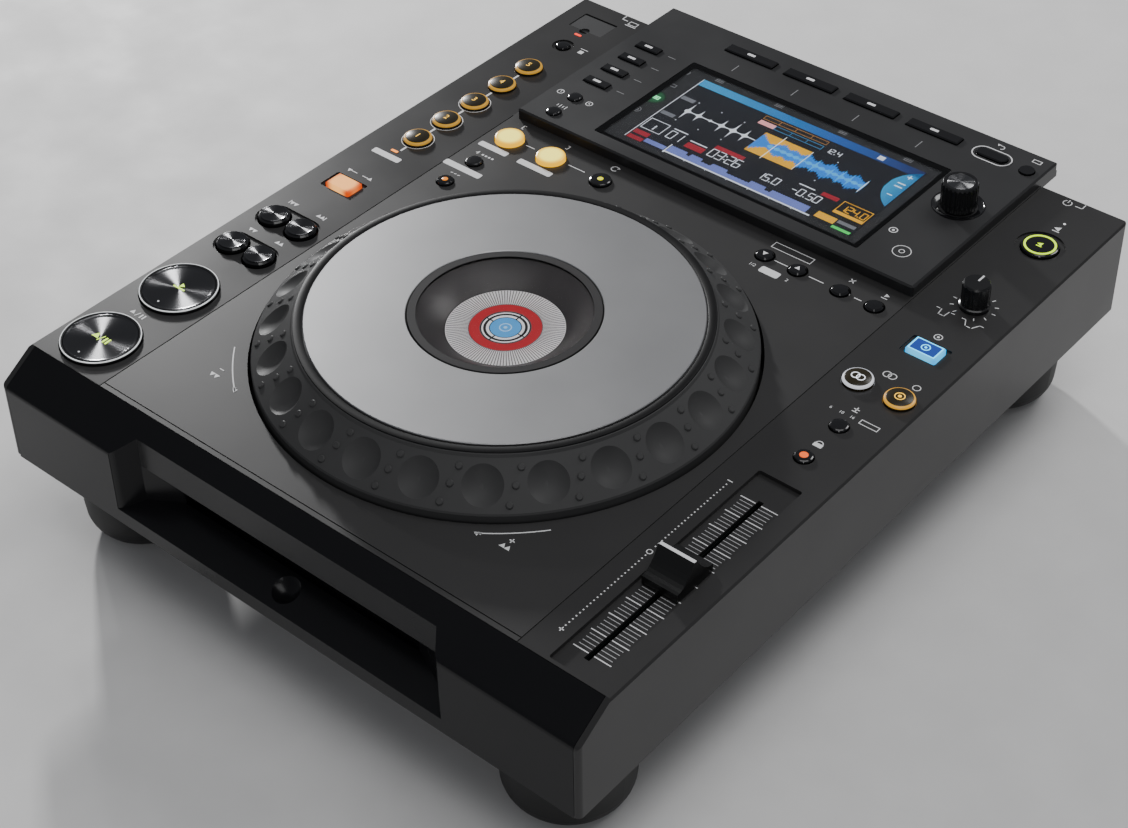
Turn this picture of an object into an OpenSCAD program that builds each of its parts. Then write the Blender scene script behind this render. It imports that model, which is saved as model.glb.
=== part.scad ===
// Tabletop disc player with a large jog wheel, a slot for discs in its front,
// a raised display and a tempo slider.
// Origin: centre of the footprint, on the table. +Z up, front at -Y.

/* [Body] */
// Width of the case
body_w = 305; // [290:1:330]
// Depth from the front face to the rear panel
body_d = 372; // [360:1:400]
// Height of the deck above the table
deck_h = 87.9; // [80:0.1:100]
// Height of the side walls
side_h = 47; // [44:0.5:54]
// Thickness of the deck
deck_t = 3; // [2.6:0.1:3.6]
// Thickness of the side walls
side_t = 2.5; // [2:0.1:4]
// Radius of the case's upright corners
corner_r = 2; // [0.5:0.1:2.4]
// Chamfer along the deck's side edges
edge_chamfer = 0.8; // [0.3:0.1:1.5]
// Width of the control strip at each side
strip_w = 42.4; // [40:0.1:46]
// Width of the grooves that divide the deck
seam_w = 0.5; // [0.3:0.1:1]
// Depth of the grooves that divide the deck
seam_depth = 0.5; // [0.3:0.1:1]

/* [Front] */
// How far the gloss bevel reaches forward
bevel_run = 17.5; // [15:0.5:22]
// How far the gloss bevel drops
bevel_drop = 11.1; // [8:0.1:14]
// Radius of the nose between the bevel and the front face
nose_r = 3; // [1:0.1:5]
// Radius of the front blocks' upright edges beside the recess
block_r = 5; // [2:0.1:7]
// Wall of the two front blocks
bezel_wall = 2.5; // [2:0.1:3.5]
// Width of the finger recess at the front face
recess_w = 173; // [160:1:180]
// Setback of the lip above the disc slot
lip_back = 8.8; // [7:0.1:11]
// Depth of the lip's face
lip_face = 14; // [11:0.5:17]
// Width of the disc slot
slot_w = 126; // [124:0.5:132]
// Height of the disc slot
slot_h = 5; // [4.6:0.1:6]
// Depth of the disc plane below the deck
disc_drop = 32.5; // [31:0.5:34]
// Drop from the deck to the tray lip below the slot
tray_drop = 41; // [39:0.5:43]
// Radius of the scoop for a fingertip
scoop_r = 6; // [4:0.1:6.2]
// Depth of the scoop for a fingertip
scoop_depth = 2.2; // [1:0.1:2.2]

/* [Display] */
// Width of the case that the display housing leaves free
display_spare = 88.6; // [80:0.2:93]
// Distance of the housing from the case's left side
display_from_left = 45.4; // [44:0.1:48]
// Distance of the housing from the deck's front edge
display_from_front = 251; // [248:0.5:256]
// Height of the housing above the deck
display_rise = 5.3; // [4.5:0.1:7]
// How far the housing overhangs the rear panel
display_overhang = 13.9; // [8:0.1:20]
// Thickness of the overhang below the deck's level
overhang_drop = 2; // [1.5:0.1:2.2]
// Wall of the display housing
housing_t = 2; // [1.8:0.1:2.4]
// Width of the housing beside the display window
window_side = 72.4; // [70.4:0.2:80]
// Depth of the housing before and behind the display window
window_rim = 42.4; // [41.4:0.2:49]
// Thickness of the display window
window_t = 1.5; // [1:0.1:1.8]
// Dark border at the left and right of the lit screen, both together
screen_side = 20; // [14:0.5:34]
// Dark border before and behind the lit screen, both together
screen_rim = 15; // [11:0.5:25]

/* [Jog wheel] */
// Distance of the jog wheel's axis from the deck's front edge
jog_from_front = 120.8; // [118:0.1:124]
// Distance of the jog wheel from the control strips
jog_margin = 7.1; // [6.6:0.1:12]
// Gap between the jog wheel and its well
jog_gap = 1.5; // [1:0.1:2]
// Height of the jog plate above the deck
jog_rise = 18.6; // [16:0.1:22]
// Distance from the jog plate's edge to the finger slope
plate_margin = 5.1; // [4:0.1:8]
// Thickness of the jog plate
plate_t = 1.2; // [1:0.1:2]
// Width of the finger slope, seen from above
slope_w = 17; // [15:0.1:17.6]
// Height of the slope's lower edge above the deck
slope_low = 3; // [1:0.1:5]
// Depth of the well below the deck
well_depth = 16; // [15:0.5:17]
// Number of finger dimples
dimples = 24; // [16:1:28]
// Width of a finger dimple
dimple_w = 16.6; // [12:0.1:17]
// Depth of a finger dimple
dimple_depth = 3; // [2:0.1:3.6]
// Radius of a grip stud
stud_r = 1.5; // [1:0.1:2]
// Height of a grip stud
stud_h = 0.7; // [0.3:0.1:1.2]
// Radius of the centre window
eye_r = 39.5; // [34:0.1:42]
// Radius of the round centre display
dial_r = 25.5; // [20:0.1:30]
// Depth of the centre display below the jog plate
dial_drop = 9; // [7:0.1:10]
// Radius of the bearing post
post_r = 11; // [9:0.5:13]

/* [Keys] */
// Gap around each key
key_gap = 0.4; // [0.3:0.05:0.6]
// Travel of the small keys
key_travel = 0.8; // [0.5:0.1:1]
// Travel of the two large buttons
big_travel = 1.2; // [0.8:0.1:1.4]
// Cap radius of the two large buttons
big_r = 16.9; // [15:0.1:17]
// Cap radius of the beat keys
beat_r = 6.6; // [5:0.1:7]
// Distance between two beat keys
beat_pitch = 19.5; // [17:0.1:20]
// Cap radius of the search keys
search_r = 7; // [6:0.1:7.4]
// Distance between the two search keys of a pair
search_pitch = 16.2; // [15.6:0.1:17]
// Cap radius of the loop in and loop out keys
loop_r = 6.8; // [5:0.1:7.4]
// Cap radius of the small keys
small_r = 3.9; // [3:0.1:4.4]
// Distance between two small keys of a pair
small_pitch = 17; // [14:0.5:20]
// Cap radius of the sync and master keys
sync_r = 6.4; // [5:0.1:7]
// Distance between the sync and master keys
sync_pitch = 19.6; // [17:0.1:21]
// Cap radius of the eject key
eject_r = 8.2; // [7:0.1:9]
// Width of the two lit bar keys
bar_w = 14; // [12:0.5:16]
// Depth of the two lit bar keys
bar_d = 9.6; // [8:0.2:11]
// Gap between two menu keys
menu_gap = 6.7; // [5:0.1:10]
// Depth of a menu key
menu_d = 6; // [5:0.1:7]
// Width of a source key on the display housing
source_w = 13; // [10:0.5:14]
// Depth of a source key
source_d = 5.2; // [4:0.1:6]
// Distance between two source keys
source_pitch = 13.05; // [10:0.05:13.5]
// Width of the door over the memory stick socket
door_w = 19.4; // [18:0.2:22]
// Depth of the door over the memory stick socket
door_d = 13; // [11:0.2:15]

/* [Knobs and slider] */
// Radius of the rotary selector
selector_r = 8.1; // [7:0.1:9]
// Height of the rotary selector above the display housing
selector_h = 12.4; // [10:0.1:16]
// Travel of the rotary selector when it is pressed
selector_travel = 0.6; // [0.4:0.1:0.8]
// Radius of the dish around the rotary selector
selector_dish_r = 11.8; // [11:0.1:13]
// Radius of the vinyl speed knob
vinyl_r = 6.6; // [5:0.1:8]
// Height of the vinyl speed knob above the deck
vinyl_h = 12.5; // [9:0.1:15]
// Travel of the tempo slider to each side of its centre
tempo_travel = 49; // [40:1:50]
// Width of the slot of the tempo slider
tempo_slot_w = 2.4; // [2:0.1:3.5]
// Width of the slider's sunken track
track_w = 20; // [18.4:0.1:22]
// Depth of the slider's sunken track
track_depth = 1.8; // [1.2:0.1:2]
// Width of the slider's cap
slider_w = 16.2; // [13:0.1:17]
// Length of the slider's cap
slider_d = 21; // [16:0.5:22]
// Height of the slider's ridge above the deck
slider_h = 11; // [8:0.1:13]

/* [Feet] */
// Radius of a foot
foot_r = 27.6; // [22:0.1:30]
// Distance of the feet from the case's sides
foot_from_side = 35.7; // [31:0.1:45]
// Distance of the front feet from the front face
foot_from_front = 36; // [32:0.5:60]
// Distance of the rear feet from the rear panel
foot_from_rear = 34; // [32:0.5:60]

/* [Disc drive] */
// Width of the drive frame
drive_w = 148; // [144:1:160]
// Depth of the drive frame
drive_d = 150; // [146:1:160]
// Distance from the roller's axis to the turntable's axis
roller_to_hub = 66; // [64:0.5:70]
// Radius of the loading roller
roller_r = 4; // [3:0.1:4.4]
// Travel of the pickup sled
sled_travel = 34; // [30:1:36]
// Thickness of folded sheet steel
sheet_t = 1.2; // [0.8:0.1:1.6]

/* [Hidden] */
$fn = 64;
eps = 0.01;            // overshoot of a cutting tool
seat = 0.3;            // gap between a moving piece and what carries it
running = 0.05;        // radial clearance of a turning or sliding fit
board_t = 1.6;         // circuit board
flange_t = 1.2;        // retaining flange of a key
flange_out = 1.5;      // reach of a key's flange past its cap
switch_h = 2;          // small push switch on a board
screw_r = 1.5;         // shank of a case screw
screw_head_r = 2.8;
boss_r = 4;            // screw boss under the deck
stay_r = 2.6;          // boss that carries a board
plan_len = 354.5;      // length of the deck that its rows were laid out on

// main planes
left = -body_w / 2;
right = body_w / 2;
front = -(body_d + display_overhang) / 2;
rear = front + body_d;
edge_y = front + bevel_run;              // front edge of the deck
deck_under = deck_h - deck_t;
case_low = deck_h - side_h;              // lower edge of the side walls
floor_top = case_low;                    // upper face of the chassis floor
floor_low = floor_top - sheet_t;
disc_z = deck_h - disc_drop;
inner_x = body_w / 2 - side_t;           // inner face of a side wall

// row of the deck: its distance from the front edge follows the deck's length
function row(y) = edge_y + y * (rear - edge_y) / plan_len;
loop_row = row(235.2);                   // keys between the jog wheel and the display

// key boards hang below the deck
board_top = deck_under - 9.4;
switch_top = board_top + switch_h;

// jog wheel
jog_x = -0.5;
jog_y = row(jog_from_front);
jog_r = min(body_w / 2 - strip_w - jog_margin, loop_row - jog_y - 11.3);
slope_r = jog_r - slope_w;               // where the finger slope begins
plate_r = slope_r - plate_margin;
well_r = jog_r + jog_gap;
well_wall = 2;
well_floor = deck_h - well_depth;        // upper face of the well's floor
plate_top = deck_h + jog_rise;
dial_top = plate_top - dial_drop;
slope_high = plate_top - 2.3;            // upper end of the finger slope
slope_low_z = deck_h + slope_low;
slope_angle = atan2(slope_high - slope_low_z, jog_r - slope_r);
dimple_r = (slope_r + jog_r) / 2 - 0.3;  // radius of the circle of dimples
dimple_ball = (pow(dimple_w / 2, 2) + pow(dimple_depth, 2)) / (2 * dimple_depth);
ring_wall = 7;                           // thickness of the ring below the slope
stud_radii = [slope_r + 2.9, dimple_r + 0.1, jog_r - 2.9];
stud_lean = 1.55;                        // degrees between two studs of a row

// display housing
disp_x0 = left + display_from_left;
display_w = body_w - display_spare;
disp_x1 = disp_x0 + display_w;
disp_y0 = row(display_from_front);
disp_y1 = rear + display_overhang;
display_d = disp_y1 - disp_y0;
disp_top = deck_h + display_rise;
disp_under = disp_top - housing_t;
overhang_low = deck_h - overhang_drop;
window_w = display_w - window_side;
window_d = display_d - window_rim;
window_x = disp_x0 + 39 + window_w / 2;
window_y = disp_y0 + 8 + window_d / 2;
screen_w = window_w - screen_side;
screen_d = window_d - screen_rim;
screen_x = window_x + 2.2;
screen_y = window_y - 0.3;
menu_pitch = (display_w - 79.6) / 4;
menu_w = menu_pitch - menu_gap;
disp_board_top = deck_h - 8.5;
disp_switch_top = disp_board_top + switch_h;

// places of the controls, from the nearest sides
usb_pt = [left + 20.1, row(336.9)];
usb_stop_pt = [left + 20.6, row(313.2)];
direction_pt = [left + 20.4, row(161.3)];
track_pt = [left + 21.8, row(124.8)];
search_pt = [left + 21.8, row(99.7)];
cue_pt = [left + 20.6, edge_y + 62.5];
play_pt = [left + 20.6, edge_y + 19.6];
in_pt = [left + 54.2, loop_row];
out_pt = [left + 78.8, loop_row];
reloop_pt = [left + 107.8, loop_row];
beat_loop_pt = [left + 53.7, row(211.2)];
slip_pt = [left + 53.7, row(191.8)];
call_pt = [right - 99.2, row(236.4)];
memory_pt = [right - 60.3, row(236)];
eject_pt = [right - 20.4, row(315.4)];
vinyl_pt = [right - 20, row(262.3)];
jog_mode_pt = [right - 19.8, row(225.2)];
sync_pt = [right - 20.4 - sync_pitch / 2, row(192.2)];
master_pt = sync_pt + [sync_pitch, 0];
range_pt = [right - 20.3, row(164.8)];
master_tempo_pt = [right - 20.6, row(141.6)];
tempo_pt = [right - 19.4, edge_y + 61.4];
source_pt = [disp_x0 + 14.7, disp_y0 + 40.1];  // the front key of the column
function source_at(i) = source_pt + [0, (3 - i) * source_pitch];
time_pt = [disp_x0 + 14.9, disp_y0 + 23.6];
quantize_pt = [disp_x0 + 14.9, disp_y0 + 8.3];
menu_pt = [disp_x0 + 44.05 + menu_w / 2, disp_y1 - 13.7];
back_pt = [disp_x1 - 25.5, disp_y1 - 14];
tag_pt = [disp_x1 - 7.2, disp_y1 - 14.7];
selector_pt = [disp_x1 - 17.1, disp_y0 + 62];

// keys that pass through the deck: place, cap radius, rise, travel
usb_stop = [usb_stop_pt, 3.4, 0.6, key_travel];
beat_keys = [for (i = [0:4])
    [[left + 21.6, row(208.6 + i * beat_pitch)], beat_r, 2, key_travel]];
cue = [cue_pt, big_r, 1.5, big_travel];
play = [play_pt, big_r, 1.5, big_travel];
loop_in = [in_pt, loop_r, 2, key_travel];
loop_out = [out_pt, loop_r, 2, key_travel];
reloop = [reloop_pt, 5, 1.4, key_travel];
beat_loop = [beat_loop_pt, small_r, 1.2, key_travel];
slip = [slip_pt, small_r, 1.2, key_travel];
eject = [eject_pt, eject_r, 0.8, key_travel];
sync = [sync_pt, sync_r, 2, key_travel];
master = [master_pt, sync_r, 2, key_travel];
tempo_range = [range_pt, small_r, 1.2, key_travel];
master_tempo = [master_tempo_pt, small_r, 1.2, key_travel];
deck_keys = concat([usb_stop, cue, play, loop_in, loop_out, reloop, beat_loop, slip,
    eject, sync, master, tempo_range, master_tempo], beat_keys);

// rocker keys: centre, pitch, cap radius, rise
track_rocker = [track_pt, search_pitch, search_r, 1.6];
search_rocker_spec = [search_pt, search_pitch, search_r, 1.6];
call_rocker_spec = [call_pt, small_pitch, small_r, 1.2];
memory_rocker_spec = [memory_pt, small_pitch, small_r, 1.2];
rockers = [track_rocker, search_rocker_spec, call_rocker_spec, memory_rocker_spec];
rocker_play = 0.35;    // more room around a tilting cap
rocker_pin_r = 1;

// keys on the display housing: place, cap radius, rise
time_mode = [time_pt, 3.4, 1];
quantize = [quantize_pt, 3.4, 1];
tag = [tag_pt, 3.4, 1];

// pieces that several sub-parts share
base_top = well_floor + 3;               // flange of the jog base
hub_low = base_top + seat;               // lower end of the jog hub
skirt_low = deck_h - 9;
clip_low = deck_h + 1.75;                // groove of the jog's retaining ring
clip_t = 1.2;
dial_t = 3;                              // thickness of the centre display
dimple_from = -54;                       // angle of the first dimple
dish_depth = 0.8;                        // dish of the rotary selector
selector_low = disp_top - dish_depth + seat + selector_travel;
sleeve_r = 4.4;
shaft_r = 3;
encoder_top = disp_board_top + 6.5;
fader_w = 13.2;
fader_top = deck_under - 1;
carriage_w = 10;
carriage_d = 12;
back_w = 15.4;
door_t = 2;
door_pin_r = 0.7;
door_low = deck_h - 0.2 - door_t;
door_z = door_low + door_t / 2;          // hinge line of the socket's door
door_y = usb_pt[1] + door_d / 2 - door_t / 2;
disc_rest = 0.6;                         // turntable's face below the disc plane
roller_axle_r = 1.5;
roller_y = edge_y + 12;
roller_z = disc_z - disc_rest - seat - roller_r;
hub_y = roller_y + roller_to_hub;
hub_low_z = disc_z - 3.4;
hub_cone_r = 7.4;
clamper_neck = 8;
rod_x = 18;
rod_r = 1.5;
rod_z = floor_top + 8.6;
sled_back = 17.5;                        // sled at rest, behind the turntable's axis
sled_len = 20;
sled_stop = hub_y + sled_back + sled_len + sled_travel + 0.5;
roller_half = 62;                        // half the length of the roller's rubber
base_r = 34;                             // flange of the jog base
base_screws = 28;                        // radius of its circle of screws
menu_stem_y = rear - 6.4;                // switches of the rear row of keys

// screw bosses along the side walls, then the bosses that carry the boards
boss_x = inner_x - boss_r - 1.9;
case_bosses = [
    for (y = [edge_y + 41, row(145), row(229), rear - 8]) [-boss_x, y],
    for (y = [edge_y + 41, row(145), row(242), rear - 8]) [boss_x, y]];
board_bosses = [
    [left + 39.4, edge_y + 4.4], [left + 39.4, cue_pt[1] + 16], [left + 36, row(142)],
    [left + 36, row(180)], [left + 37, row(316)],
    [right - 36, edge_y + 8], [right - 36, row(140)], [right - 36, row(240)],
    [right - 36, row(330)], [left + 66, row(243)], [left + 125, row(243)],
    [right - 115, row(243)], [right - 46, row(243.4)]];
display_bosses = [
    for (x = [disp_x0 + 3.6, disp_x1 - 3.6], y = [disp_y0 + 4, disp_y0 + 78]) [x, y]];

// front recess and disc slot
bevel_angle = atan2(bevel_drop, bevel_run);
nose_z = deck_h - bevel_drop - nose_r * tan(45 - bevel_angle / 2);   // nose's axis
nose = [front + nose_r, nose_z];
nose_top = nose + nose_r * [-sin(bevel_angle), cos(bevel_angle)];    // where the bevel begins
flare = 7;                               // how far each end of the recess tapers
flare_angle = atan2(lip_back, flare);
lip_y = front + lip_back;
lip_z = deck_h - (edge_y - lip_y) * bevel_drop / bevel_run;
slot_y = edge_y - 2;
slot_low = disc_z - slot_h / 2;
tray_z = deck_h - tray_drop;
bezel_x = inner_x - 0.2;
bezel_low = case_low - 1;
tongue_x = [-70, -24, 24, 70];           // tongues of the front below the deck

// sockets of the rear panel
jack_z = deck_h - 25.9;
ac_x = right - 58.5;
power_x = right - 24.5;
control_x = left + 30.5;
lan_x = -8;
usb_b_x = 18;
rca_pts = [[-46, jack_z], [-74, jack_z], [-96, jack_z]];
power_r = 5;
inlet = [27, 19];                        // faces of the sockets, width and height
network = [13, 9.2];
computer = [8.9, 8.3];
socket_gap = 0.2;                        // round a socket in its opening
phono_r = 4.15;
foot_sole = 13;                          // height of a foot's rounded sole

// ---------- shared shapes ----------

// box from its low corner to its high corner
module span(a, b) { translate(a) cube(b - a); }

// upright round bar between two heights
module bar(at, r, z0, z1) { translate([at[0], at[1], z0]) cylinder(h = z1 - z0, r = r); }

// outline with rounded corners, centred
module rounded(w, d, r) {
    square([w - 2 * r, d], center = true);
    square([w, d - 2 * r], center = true);
    for (sx = [-1, 1], sy = [-1, 1]) translate([sx * (w / 2 - r), sy * (d / 2 - r)]) circle(r);
}

// rounded block between two heights
module pad(at, w, d, r, z0, z1) {
    translate([at[0], at[1], z0]) linear_extrude(z1 - z0) rounded(w, d, r);
}

// profile drawn in Y and Z, run along X
module along_x(x0, x1) {
    translate([x0, 0, 0]) rotate([90, 0, 90]) linear_extrude(x1 - x0) children();
}

// cap of a round key with a soft edge, its retaining flange and its plunger
module round_cap(r, top, under, stem_z, edge = 0.7) {
    rotate_extrude() polygon([
        [0, stem_z], [1.6, stem_z], [1.6, under - seat - flange_t],
        [r + flange_out, under - seat - flange_t], [r + flange_out, under - seat],
        [r, under - seat], [r, top - edge], [r - edge * 0.3, top - edge * 0.3],
        [r - edge, top], [r * 0.5, top + 0.12], [0, top + 0.15]]);
}

// a key of the deck: spec = [place, cap radius, rise, travel]
module deck_key(spec) {
    translate([spec[0][0], spec[0][1], 0])
        round_cap(spec[1], deck_h + spec[2], deck_under, switch_top + spec[3] + 0.2);
}

// large transport button: a wide cap with a rim, held by four lugs
module transport_button(spec) {
    r = spec[1];
    top = deck_h + spec[2];
    translate([spec[0][0], spec[0][1], 0]) {
        rotate_extrude() polygon([
            [0, switch_top + spec[3] + 0.2], [4, switch_top + spec[3] + 0.2],
            [4, deck_under - seat - flange_t], [r - 4, deck_under - seat - flange_t],
            [r - 4, deck_under - seat], [r, deck_under - seat], [r, top - 0.5], [r - 0.5, top],
            [r - 1.2, top], [r - 1.6, top - 0.5], [r * 0.6, top - 0.9], [0, top - 1.1]]);
        for (a = [45:90:315]) rotate(a)
            span([r - 5, -2.5, deck_under - seat - flange_t], [r + 1.6, 2.5, deck_under - seat]);
    }
}

// block with a rounded outline whose top edges are bevelled on all four sides
module bevelled(at, w, d, r, z0, z1, edge) {
    intersection() {
        pad(at, w, d, r, z0, z1);
        translate([at[0], at[1] + d, 0]) rotate([90, 0, 0]) linear_extrude(2 * d) roof(w, z0, z1, edge);
        translate([at[0] - w, at[1], 0]) rotate([90, 0, 90]) linear_extrude(2 * w)
            roof(d, z0, z1, edge);
    }
}
module roof(w, z0, z1, edge) {
    polygon([[-w / 2, z0 - 1], [w / 2, z0 - 1], [w / 2, z1 - edge], [w / 2 - edge, z1],
        [edge - w / 2, z1], [-w / 2, z1 - edge]]);
}

// two caps on one moulding that tilts on a pin along Y
module rocker_key(spec) {
    at = spec[0];
    half = spec[1] / 2;
    r = spec[2];
    top = deck_h + spec[3];
    pivot_z = deck_under - 3;
    arm = r > 5 ? 3.2 : 2.2;
    for (s = [-1, 1]) translate([at[0] + s * half, at[1], 0]) {
        rotate_extrude() polygon([
            [0, switch_top + key_travel + 0.3], [1.4, switch_top + key_travel + 0.3],
            [1.4, pivot_z - 0.9], [2.2, pivot_z - 0.9], [2.2, deck_under - 0.6],
            [r, deck_under - 0.6], [r, top - 0.7], [r - 0.7, top], [0, top + 0.15]]);
    }
    span([at[0] - half - 2, at[1] - arm, pivot_z - 1], [at[0] + half + 2, at[1] + arm, pivot_z + 1]);
    translate([at[0], at[1] - rocker_ear(spec) - 2, pivot_z]) rotate([-90, 0, 0])
        cylinder(h = 2 * rocker_ear(spec) + 4, r = rocker_pin_r);
}
function rocker_ear(spec) = spec[2] > 5 ? 4.6 : 3;

// ---------- case ----------

// outside of the case: side outline, plan and front outline met together
module case_body() {
    intersection() {
        along_x(left, right) {
            polygon([[front, case_low], [front, nose_z], nose_top, [edge_y, deck_h],
                [rear, deck_h], [rear, case_low]]);
            translate(nose) circle(nose_r);
        }
        translate([0, (front + rear) / 2, case_low - 1])
            linear_extrude(side_h + 2) rounded(body_w, body_d, corner_r);
        translate([0, rear + 1, 0]) rotate([90, 0, 0]) linear_extrude(body_d + 2) polygon([
            [left, case_low - 1], [left, deck_h - edge_chamfer], [left + edge_chamfer, deck_h],
            [right - edge_chamfer, deck_h], [right, deck_h - edge_chamfer], [right, case_low - 1]]);
    }
}

// groove of the deck between two points
module groove(a, b) {
    span([min(a[0], b[0]) - seam_w / 2, min(a[1], b[1]) - seam_w / 2, deck_h - seam_depth],
        [max(a[0], b[0]) + seam_w / 2, max(a[1], b[1]) + seam_w / 2, deck_h + 1]);
}

module top_case() {
    color([0.2, 0.2, 0.21]) difference() {
        union() {
            difference() {
                case_body();
                // room below the deck, open at the front, the bottom and the rear
                span([-inner_x, edge_y - eps, case_low - 1], [inner_x, rear + 1, deck_under]);
                span([-inner_x, front - 1, case_low - 1], [inner_x, edge_y, deck_h + 1]);
            }
            // rear lip of the deck
            span([-inner_x, rear - 3.8, deck_under - 6], [inner_x, rear - sheet_t - 0.1, deck_under]);
            // jog well
            bar([jog_x, jog_y], well_r + well_wall, well_floor - well_wall, deck_under);
            for (b = case_bosses) bar(b, boss_r, floor_top, deck_under);
            for (b = board_bosses) bar(b, stay_r, board_top, deck_under);
            for (b = display_bosses) bar(b, stay_r, disp_board_top, deck_under);
            // ears of the rocker keys
            for (k = rockers, s = [-1, 1]) {
                y = k[0][1] + s * (rocker_ear(k) + 0.9);
                span([k[0][0] - 2, y - 0.8, deck_under - 4.8], [k[0][0] + 2, y + 0.8, deck_under]);
            }
            // collar round the memory stick socket
            pad(usb_pt - [0, 1], door_w, door_d - 2, 1, deck_under - 3, deck_under);
        }
        // jog well
        bar([jog_x, jog_y], well_r, well_floor, deck_h + 1);
        bar([jog_x, jog_y], 7, well_floor - 5, deck_h);
        for (a = [45:90:315]) translate([jog_x, jog_y, 0]) rotate(a)
            bar([base_screws, 0], screw_r + 0.1, well_floor - 5, deck_h);
        // keys
        for (k = deck_keys) bar(k[0], k[1] + key_gap, deck_under - 1, deck_h + 1);
        bar(usb_stop_pt, usb_stop[1] + 2, deck_h - 0.8, deck_h + 1);
        bar(eject_pt, eject_r + 2.6, deck_h - 0.8, deck_h + 1);
        for (k = rockers, s = [-1, 1])
            bar(k[0] + [s * k[1] / 2, 0], k[2] + key_gap + rocker_play, deck_under - 0.5, deck_h + 1);
        for (k = [track_rocker, search_rocker_spec])
            pad(k[0], k[1] + 2 * k[2] + 3, 2 * k[2] + 3, k[2] + 1.4, deck_h - 0.7, deck_h + 1);
        for (p = [direction_pt, jog_mode_pt]) {
            pad(p, bar_w + 4.4, bar_d + 2.4, 1, deck_h - 0.8, deck_h + 1);
            pad(p, bar_w + 2 * key_gap, bar_d + 2 * key_gap, 1, deck_under - 1, deck_h + 1);
        }
        for (k = rockers) translate([k[0][0], k[0][1] - 9, deck_under - 3])
            rotate([-90, 0, 0]) cylinder(h = 18, r = rocker_pin_r + running);
        // display opening, vinyl knob, tempo slider
        span([disp_x0 + 6, disp_y0 + 3, deck_under - 1], [disp_x1 - 5, rear - 4.5, deck_h + 1]);
        bar(vinyl_pt, 3.6, deck_under - 1, deck_h + 1);
        pad(tempo_pt + [0, 2], track_w, 2 * tempo_travel + slider_d + 4.6, 1,
            deck_h - track_depth, deck_h + 1);
        span([tempo_pt[0] - tempo_slot_w / 2, tempo_pt[1] - tempo_travel - 2.4, deck_under - 1],
            [tempo_pt[0] + tempo_slot_w / 2, tempo_pt[1] + tempo_travel + 2.4, deck_h]);
        // door and the socket below it
        pad(usb_pt, door_w + 2 * seat, door_d + 2 * seat, 0.6, door_low - seat, deck_h + 1);
        bar(usb_pt - [0, door_d / 2 + 0.4], 2.6, deck_h - 1.4, deck_h + 1);
        pad(usb_pt - [0, 1], 14, 6.4, 0.5, deck_under - 5, deck_h);
        translate([usb_pt[0] - door_w / 2 - 1.8, door_y, door_z])
            rotate([0, 90, 0]) cylinder(h = door_w + 3.6, r = door_pin_r + running);
        // pilot holes
        for (b = case_bosses) bar(b, screw_r + running, floor_top - 1, floor_top + 12);
        // grooves between the strips and the centre panel
        groove([left + strip_w, edge_y], [left + strip_w, disp_y0]);
        groove([right - strip_w, edge_y], [right - strip_w, rear + 1]);
        groove([left + strip_w, edge_y + 2.4], [right - strip_w, edge_y + 2.4]);
    }
}

// ---------- front ----------

module front_bezel() {
    half = recess_w / 2;
    color([0.07, 0.07, 0.08]) difference() {
        union() {
            along_x(-bezel_x, bezel_x) {
                polygon([[edge_y - 0.2, deck_h - 0.1], nose_top, [front, nose_z],
                    [front, bezel_low], [edge_y - 0.2, bezel_low]]);
                translate(nose) circle(nose_r);
            }
            // tongues below the deck
            for (x = tongue_x)
                span([x - 6, edge_y - 2, deck_under - 2], [x + 6, edge_y + 9, deck_under]);
        }
        // hollow blocks at both sides of the recess
        for (s = [-1, 1]) {
            x0 = half + bezel_wall;
            x1 = bezel_x - bezel_wall;
            along_x(s > 0 ? x0 : -x1, s > 0 ? x1 : -x0) polygon([
                [edge_y + 1, deck_h - 3.2], [front + bezel_wall, deck_h - bevel_drop - 2.2],
                [front + bezel_wall, bezel_low + bezel_wall], [edge_y + 1, bezel_low + bezel_wall]]);
        }
        // finger recess: side outline met with the plan of its tapered ends
        intersection() {
            along_x(-half - 1, half + 1) polygon([
                [lip_y, deck_h + 5], [lip_y, lip_z - lip_face], [slot_y, slot_low + slot_h],
                [slot_y, slot_low], [front, tray_z], [front - 1, tray_z], [front - 1, deck_h + 5]]);
            translate([0, 0, case_low]) linear_extrude(side_h + 5) {
                polygon([
                    [-half - 1, front - 1], [-half, front], [-half + flare, lip_y],
                    [-slot_w / 2 - 1, slot_y], [slot_w / 2 + 1, slot_y], [half - flare, lip_y],
                    [half, front], [half + 1, front - 1]]);
                for (s = [-1, 1]) block_edge(s, half);
            }
        }
        // disc slot
        span([-slot_w / 2, slot_y - 1, slot_low], [slot_w / 2, edge_y + 1, slot_low + slot_h]);
        // scoop for a fingertip
        scoop();
    }
}

// waste beside the rounded upright edge of a front block
module block_edge(s, half) {
    reach = block_r * tan(flare_angle / 2);
    difference() {
        polygon([[s * (half + reach), front - 1], [s * (half + reach), front],
            [s * (half - reach * cos(flare_angle)), front + reach * sin(flare_angle)],
            [s * (half - reach), front - 1]]);
        translate([s * (half + reach), front + block_r]) circle(block_r);
    }
}

// shallow ball in the sloped tray below the slot
module scoop() {
    lean = atan2(slot_low - tray_z, slot_y - front);
    ball = (pow(scoop_r, 2) + pow(scoop_depth, 2)) / (2 * scoop_depth);
    at = (slot_y - front) * 0.55;        // from the front face
    lift = ball - scoop_depth;
    translate([0, front + at - lift * sin(lean), tray_z + at * tan(lean) + lift * cos(lean)])
        sphere(r = ball);
}

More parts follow.
